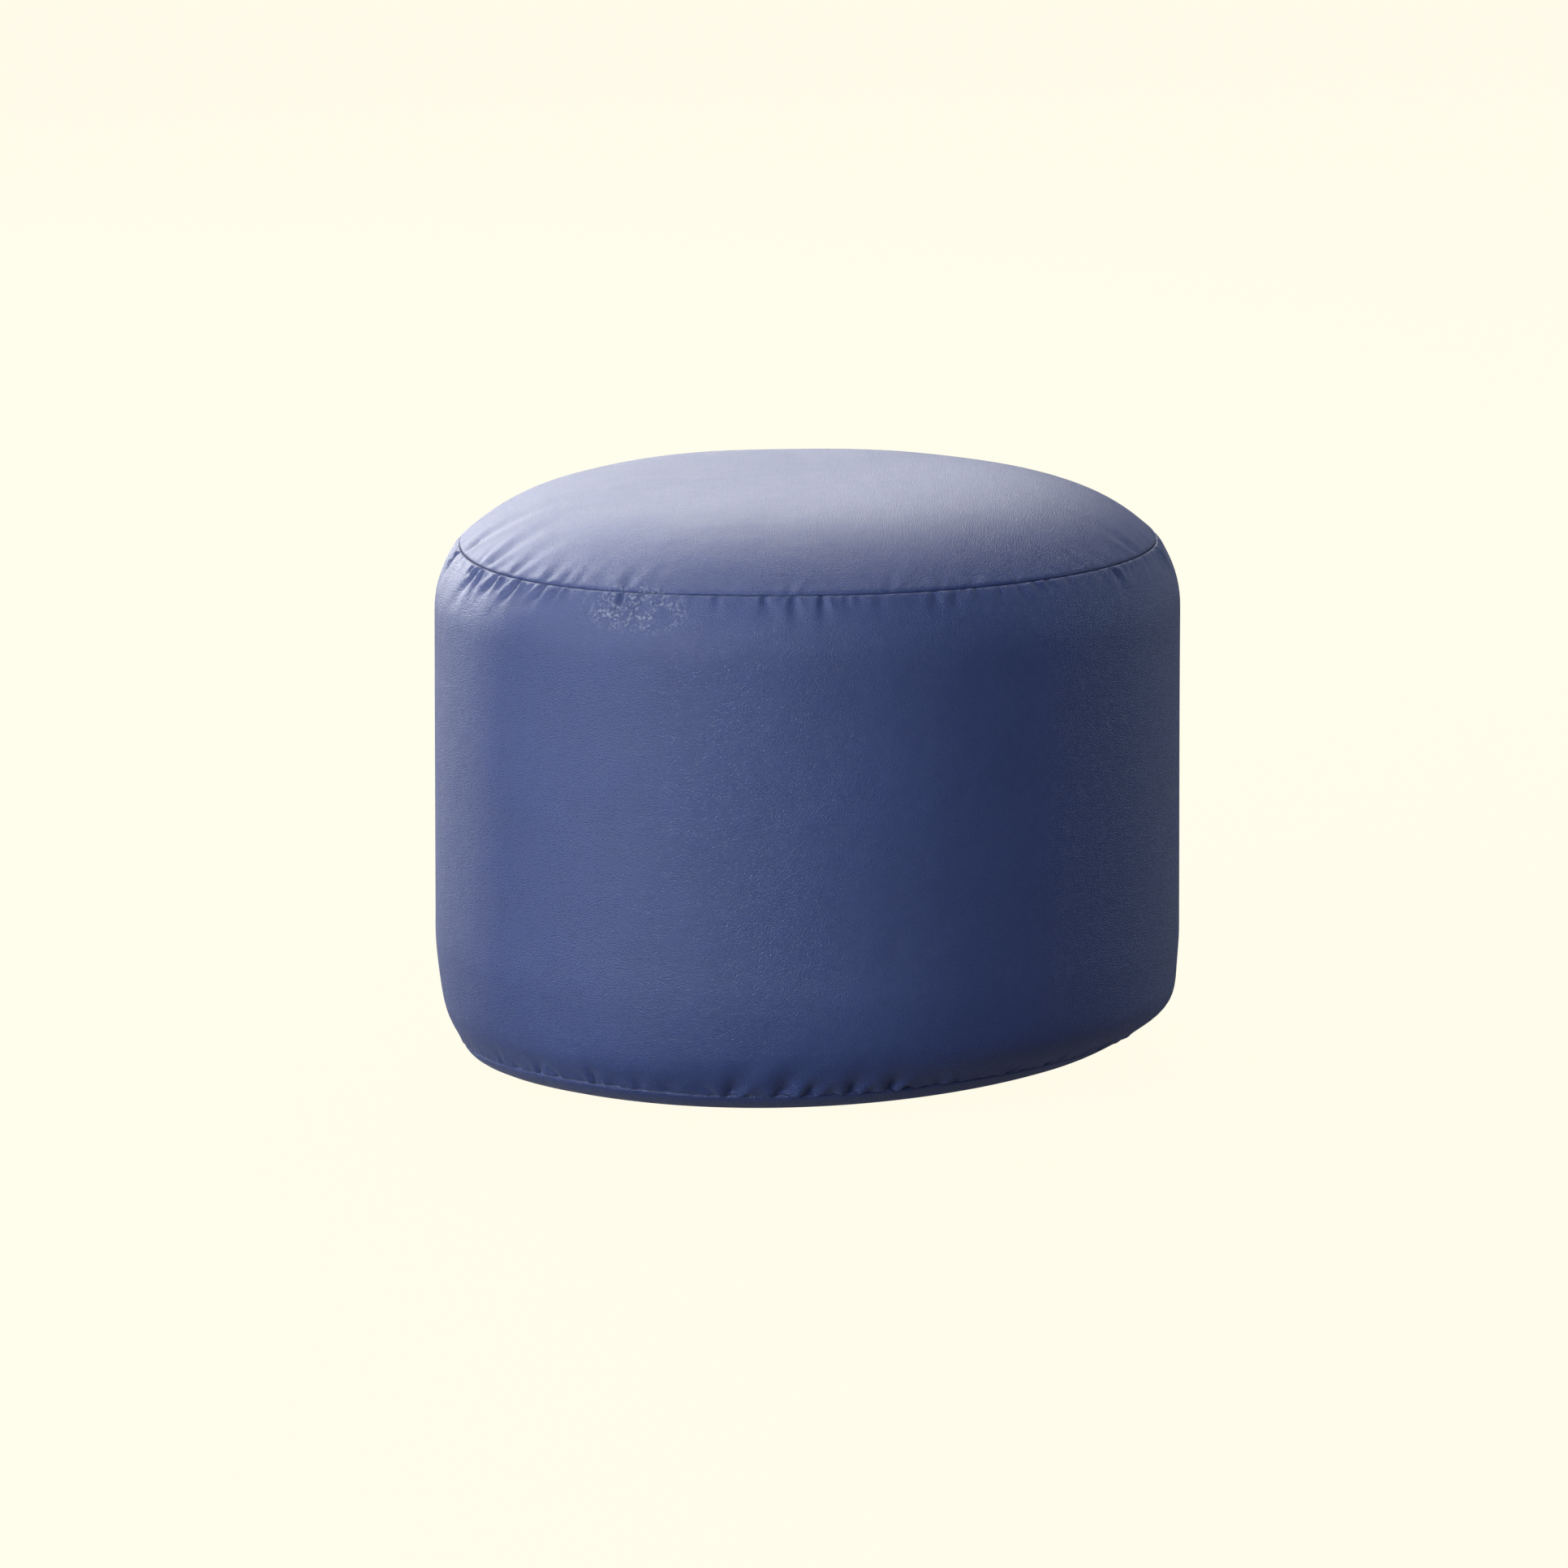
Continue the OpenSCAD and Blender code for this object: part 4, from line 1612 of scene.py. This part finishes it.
    def tab(self) -> None:
        """Builds the pull tab, which hangs from its crossbar."""
        low, high = corners("zip_pull_tab")
        radius = (high.y - low.y) / 2
        bar = high.z - radius
        window, lowest = self.tab_window_half, bar - self.tab_window_depth
        across = [low.x, -window, window, high.x]
        down = [low.z, low.z + self.tab_foot, lowest, bar]
        form = bmesh.new()
        bmesh.ops.create_grid(form, x_segments=3, y_segments=3, size=1.5)
        for point in form.verts:
            column, line = round(point.co.x + 1.5), round(point.co.y + 1.5)
            point.co = Vector((across[column], low.y + self.tab_skin, down[line]))
        middles = ((f, f.calc_center_median()) for f in form.faces)
        opening = [f for f, middle in middles if abs(middle.x) < window and middle.z > lowest]
        bmesh.ops.delete(form, geom=opening, context="FACES")
        bmesh.ops.recalc_face_normals(form, faces=form.faces)
        if form.faces[:][0].normal.y > 0:
            bmesh.ops.reverse_faces(form, faces=form.faces)
        bmesh.ops.solidify(form, geom=form.faces[:], thickness=2 * (radius - self.tab_skin))
        points = [v for v in form.verts if v.co.z < low.z + MM and abs(v.co.x) > window + MM]
        rounded(form, [e for e in edges_of(points) if thickness_of(e) > radius], 2 * MM, 6)
        rounded(form, [e for e in form.edges if e.calc_face_angle(0) > SHARP], 0.28 * MM)
        middle = Matrix.Translation((0, (low.y + high.y) / 2, bar))
        bmesh.ops.create_cone(
            form,
            cap_ends=True,
            segments=24,
            radius1=radius,
            radius2=radius,
            depth=high.x - low.x,
            matrix=middle @ Matrix.Rotation(math.pi / 2, 4, "Y"),
        )
        outwards(form)
        piece = shown("zip_pull_tab_metal", form, GunmetalPlate().material())
        fit_out(piece, Body.PULL_TAB, Slot.METAL, "zip_pull_tab")

    def stitches(self) -> None:
        """Sews the tapes to the band and tacks both ends."""
        for node in ("zip_thread_left", "zip_thread_right"):
            low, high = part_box(node)
            middle = [(low[k] + high[k]) / 2 for k in range(2)]
            path = np.array([[*middle, low[2]], [*middle, high[2]]])
            sew_thread(node, self.stitching.sewn(self.stitching.lay(path)))
        low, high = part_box("zip_end_tacks")
        places = []
        left, right, middle = low[0] + 0.6 * MM, high[0] - 0.6 * MM, (low[1] + high[1]) / 2
        for height in (low[2] + 0.35 * MM, high[2] - 0.35 * MM):
            path = np.array([[left, middle, height], [right, middle, height]])
            places += self.tack.lay(path, self.tack_slant)
        piece = shown("zip_end_bar_tacks", self.tack.sewn(places), SewingThread().material())
        fit_out(piece, Body.CUSHION, Slot.THREAD, "zip_end_tacks")

    def build(self) -> None:
        """Makes every part of the zip."""
        for side in ("left", "right"):
            self.tape(side)
            self.coil(side)
        self.stops()
        self.slider()
        self.tab()
        self.stitches()


# --------------------------------------------------------------------------- the filling


@dataclass
class Filling:
    """The liner bag and the beads inside it."""

    slumps: tuple[Slump, ...]
    cloth: float = 0.3 * MM
    lift: float = 0.3 * MM
    seam_rows: int = 4
    stitching: Stitching = Stitching(pitch=3 * MM, radius=0.28 * MM)
    soft: Gathers = Gathers(23, 17, (14, 40), (4, 8), (0.4, 1.3), 0.5)
    lumpy: Gathers = Gathers(41, 26, (20, 45), (7, 12), (0.3, 1.0), 0.6)

    def outline(self) -> Drum:
        """The bag's outline."""
        return Drum.from_frame("liner_wall", "liner_top", "liner_base", "liner_top_thread")

    def bag(self) -> None:
        """Sews the liner's three panels and its threads."""
        bag = SewnDrum(
            drum=self.outline(),
            gathers={panel: self.soft for panel in Panel},
            slumps=self.slumps,
            seed=31,
            columns=256,
            longest_row=9 * MM,
            seam_round=1.4 * MM,
            cloth=self.cloth,
            allowance=6 * MM,
        )
        nodes = ("liner_top", "liner_wall", "liner_base")
        bag.sew(nodes, "cloth", LinerCloth().material(), Slot.LINER)
        rows = np.arange(bag.top_row + self.seam_rows, bag.base_row - self.seam_rows + 1)
        lines = {
            "liner_top_thread": bag.round_line(bag.top_row, 900, self.lift),
            "liner_base_thread": bag.round_line(bag.base_row, 900, self.lift),
            "liner_side_thread": bag.back_line(rows, self.lift),
        }
        for node, path in lines.items():
            sew_thread(node, self.stitching.sewn(self.stitching.lay(path)), Slot.LINER_THREAD)

    def beads(self) -> None:
        """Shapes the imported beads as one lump, a little smaller than the bag."""
        low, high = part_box("bead_fill")
        bag = self.outline()
        inset = low[2] - bag.floor
        drum = Drum(
            radius=high[0],
            top=high[2],
            seam_radius=bag.seam_radius - inset,
            seam_height=bag.seam_height - inset,
            corner_height=bag.corner_height - inset,
            corner_inset=bag.corner_inset - inset,
            floor=low[2],
        )
        lump = SewnDrum(
            drum=drum,
            gathers={panel: self.lumpy for panel in Panel},
            slumps=self.slumps,
            seed=47,
            columns=160,
            longest_row=14 * MM,
            seam_round=2.5 * MM,
        )
        mesh = lump.skin()
        form = bmesh.new()
        form.from_mesh(mesh)
        bpy.data.meshes.remove(mesh)
        piece = shown("packed_beads", form, FoamBeads().material())
        fit_out(piece, Body.CUSHION, Slot.BEADS, "bead_fill")

    def build(self) -> None:
        """Makes the bag and the beads."""
        self.bag()
        self.beads()


# --------------------------------------------------------------------------- the studio


def facing(towards: Vector) -> Matrix:
    """The turn that points a lamp or a camera somewhere, its top upwards."""
    return towards.to_track_quat("-Z", "Y").to_matrix().to_4x4()


@dataclass(frozen=True)
class SoftBox:
    """One soft lamp, aimed at the cushion."""

    name: str
    place: tuple[float, float, float]
    size: tuple[float, float]
    watts: float
    colour: Colour = (1.0, 1.0, 1.0)
    aim: tuple[float, float, float] = (0.0, 0.0, 0.2)

    def build(self) -> None:
        """Hangs the lamp."""
        lamp = bpy.data.lights.new(self.name, "AREA")
        lamp.shape = "RECTANGLE"
        lamp.size, lamp.size_y = self.size
        lamp.energy = self.watts
        lamp.color = self.colour
        holder = bpy.data.objects.new(self.name, lamp)
        bpy.context.scene.collection.objects.link(holder)
        towards = Vector(self.aim) - Vector(self.place)
        holder.matrix_world = Matrix.Translation(self.place) @ facing(towards)


@dataclass
class Studio:
    """The floor, the light round the cushion and the camera."""

    floor_reach: float = 30.0
    wall_radius: float = 28.5
    wall_height: float = 12.0
    surround: Colour = (0.11, 0.12, 0.16)
    distance: float = 8.0
    elevation: float = math.radians(10)
    view_width: float = 1.0529
    aim: tuple[float, float] = (-0.0158, -0.0163)
    aim_height: float = 0.2
    sensor: float = 36.0
    lamps: tuple[SoftBox, ...] = (
        SoftBox("back_softbox", (-1.1, 3.4, 2.7), (3.6, 3.8), 172.0),
        SoftBox("rim_softbox", (-2.5, 3.6, 1.4), (0.9, 2.4), 105.0),
        SoftBox("left_softbox", (-3.2, 0.2, 1.0), (1.2, 2.0), 42.0),
        SoftBox("key_softbox", (-2.2, -1.2, 2.0), (1.2, 1.2), 34.0),
        SoftBox("low_softbox", (-1.9, -2.3, 0.6), (1.1, 1.4), 66.0, (0.97, 1.0, 0.98)),
        SoftBox("overhead_softbox", (-0.2, 2.0, 3.6), (3.2, 2.4), 58.0),
        SoftBox("front_softbox", (0.3, -4.0, 2.5), (3.0, 2.0), 62.0, (0.95, 1.0, 1.04)),
        SoftBox("right_softbox", (3.0, 1.6, 1.0), (1.0, 2.0), 17.0, (0.8, 1.0, 1.3)),
    )

    def floor(self) -> None:
        """Lays the paper floor and a paper wall round it, which don't light the cushion."""
        paper = PalePaper().material()
        form = bmesh.new()
        bmesh.ops.create_grid(form, x_segments=1, y_segments=1, size=self.floor_reach)
        floor = shown("studio_floor", form, paper)
        form = bmesh.new()
        bmesh.ops.create_cone(
            form,
            cap_ends=False,
            segments=96,
            radius1=self.wall_radius,
            radius2=self.wall_radius,
            depth=self.wall_height,
            matrix=Matrix.Translation((0, 0, self.wall_height / 2)),
        )
        bmesh.ops.reverse_faces(form, faces=form.faces)
        wall = shown("studio_wall", form, paper)
        for surface in (floor, wall):
            surface.visible_diffuse = False
            surface.visible_glossy = False
        wall.visible_shadow = False

    def light(self) -> None:
        """Sets the even surround and hangs the lamps."""
        world = bpy.data.worlds.new("studio_surround")
        world.use_nodes = True
        background = world.node_tree.nodes["Background"]
        background.inputs["Color"].default_value = (*self.surround, 1.0)
        background.inputs["Strength"].default_value = 1.0
        bpy.context.scene.world = world
        for lamp in self.lamps:
            lamp.build()

    def camera(self) -> None:
        """Stands the camera a little above the cushion, far enough for a flat view."""
        lens = bpy.data.cameras.new("camera")
        lens.sensor_width = self.sensor
        lens.lens = self.sensor * self.distance / self.view_width
        camera = bpy.data.objects.new("camera", lens)
        bpy.context.scene.collection.objects.link(camera)
        back = Vector((0, -math.cos(self.elevation), math.sin(self.elevation)))
        up = Vector((0, math.sin(self.elevation), math.cos(self.elevation)))
        aim = Vector((self.aim[0], 0, self.aim_height)) + up * self.aim[1]
        camera.matrix_world = Matrix.Translation(aim + back * self.distance) @ facing(-back)
        bpy.context.scene.camera = camera

    def build(self) -> None:
        """Sets up the whole studio."""
        self.floor()
        self.light()
        self.camera()
        bpy.context.scene.view_settings.view_transform = "Standard"


# --------------------------------------------------------------------------- the cushion


@dataclass
class FloorCushion:
    """The whole cushion, in the order it is sewn."""

    slumps: tuple[Slump, ...] = (
        Slump(-56, 38, 350, 70, -0.5, -6),
        Slump(75, 45, 372, 24, 0.0, 3.5),
        Slump(-62, 75, 0.0, 12, 22, 0.0),
        Slump(-62, 75, 8, 36, 18, 0.0),
        Slump(74, 55, 30, 26, 12, 0.0),
        Slump(55, 51, 6, 36, -7, 12),
        Slump(-48, 26, 14, 12, 2, 5),
    )
    rim_folds: tuple[Fold, ...] = (
        Fold(-82, 22, 4.5, 3.2, -0.5),
        Fold(-67, 25, 4.5, 3.2, -0.7),
        Fold(-60, 18, 4, 2.6, -0.7),
        Fold(-53.5, 20, 4, 3.0, -0.7),
        Fold(-47, 14, 3.5, 2.2, -0.6),
        Fold(-43.5, 12, 3, 1.8, -0.6),
        Fold(-31, 20, 2.6, 3.0, 0.0),
        Fold(-7, 14, 3.5, 2.0, 0.2),
        Fold(-2.5, 18, 3.5, 2.4, 0.15),
        Fold(2, 14, 3, 2.0, 0.1),
        Fold(58, 16, 4, 2.2, 0.4),
        Fold(80, 20, 4.5, 2.6, 0.5),
    )
    crown_folds: tuple[Fold, ...] = (
        Fold(-80, 60, 9, 1.5, 0.4),
        Fold(-66, 45, 8, 1.3, 0.3),
        Fold(-57, 34, 7, 0.9, 0.3),
        Fold(-48, 26, 6, 0.8, 0.2),
        Fold(-31, 22, 5, 0.8, 0.0),
        Fold(-3, 18, 4, 0.7, 0.0),
        Fold(70, 40, 8, 1.1, -0.3),
    )
    foot_folds: tuple[Fold, ...] = (
        Fold(-37, 16, 2.5, 2.6, 0.0),
        Fold(-13, 26, 6, 3.6, 0.3),
        Fold(-4.5, 32, 7, 4.0, 0.3),
        Fold(0, 24, 5, 3.0, 0.2),
        Fold(7, 22, 5, 3.5, 0.2),
        Fold(14, 20, 4.5, 3.0, 0.1),
    )

    gathers: tuple[Gathers, ...] = (
        Gathers(11, 16, (9, 26), (3, 7), (0.1, 0.6), 0.3),
        Gathers(7, 12, (8, 20), (2.5, 4.5), (0.3, 1.3), 0.35),
        Gathers(13, 14, (8, 22), (3, 6), (0.3, 1.6), 0.3),
    )

    def build(self) -> None:
        """Makes every piece."""
        folds = (self.crown_folds, self.rim_folds, self.foot_folds)
        cover = Cover(
            drum=Drum.from_frame("side_band", "top_panel", "base_panel", "top_seam_thread"),
            gathers=dict(zip(Panel, self.gathers)),
            features=dict(zip(Panel, folds)),
            slumps=self.slumps,
        )
        nodes = ("top_panel", "side_band", "base_panel")
        cover.sew(nodes, "leather", LeatherCloth().material(), Slot.LEATHER)
        Seams(cover).build()
        Zip().build()
        Filling(self.slumps).build()


def main() -> None:
    """Builds the cushion and its studio."""
    logging.basicConfig(level=logging.INFO, format="%(message)s")
    FloorCushion().build()
    Studio().build()


if __name__ == "__main__":
    main()
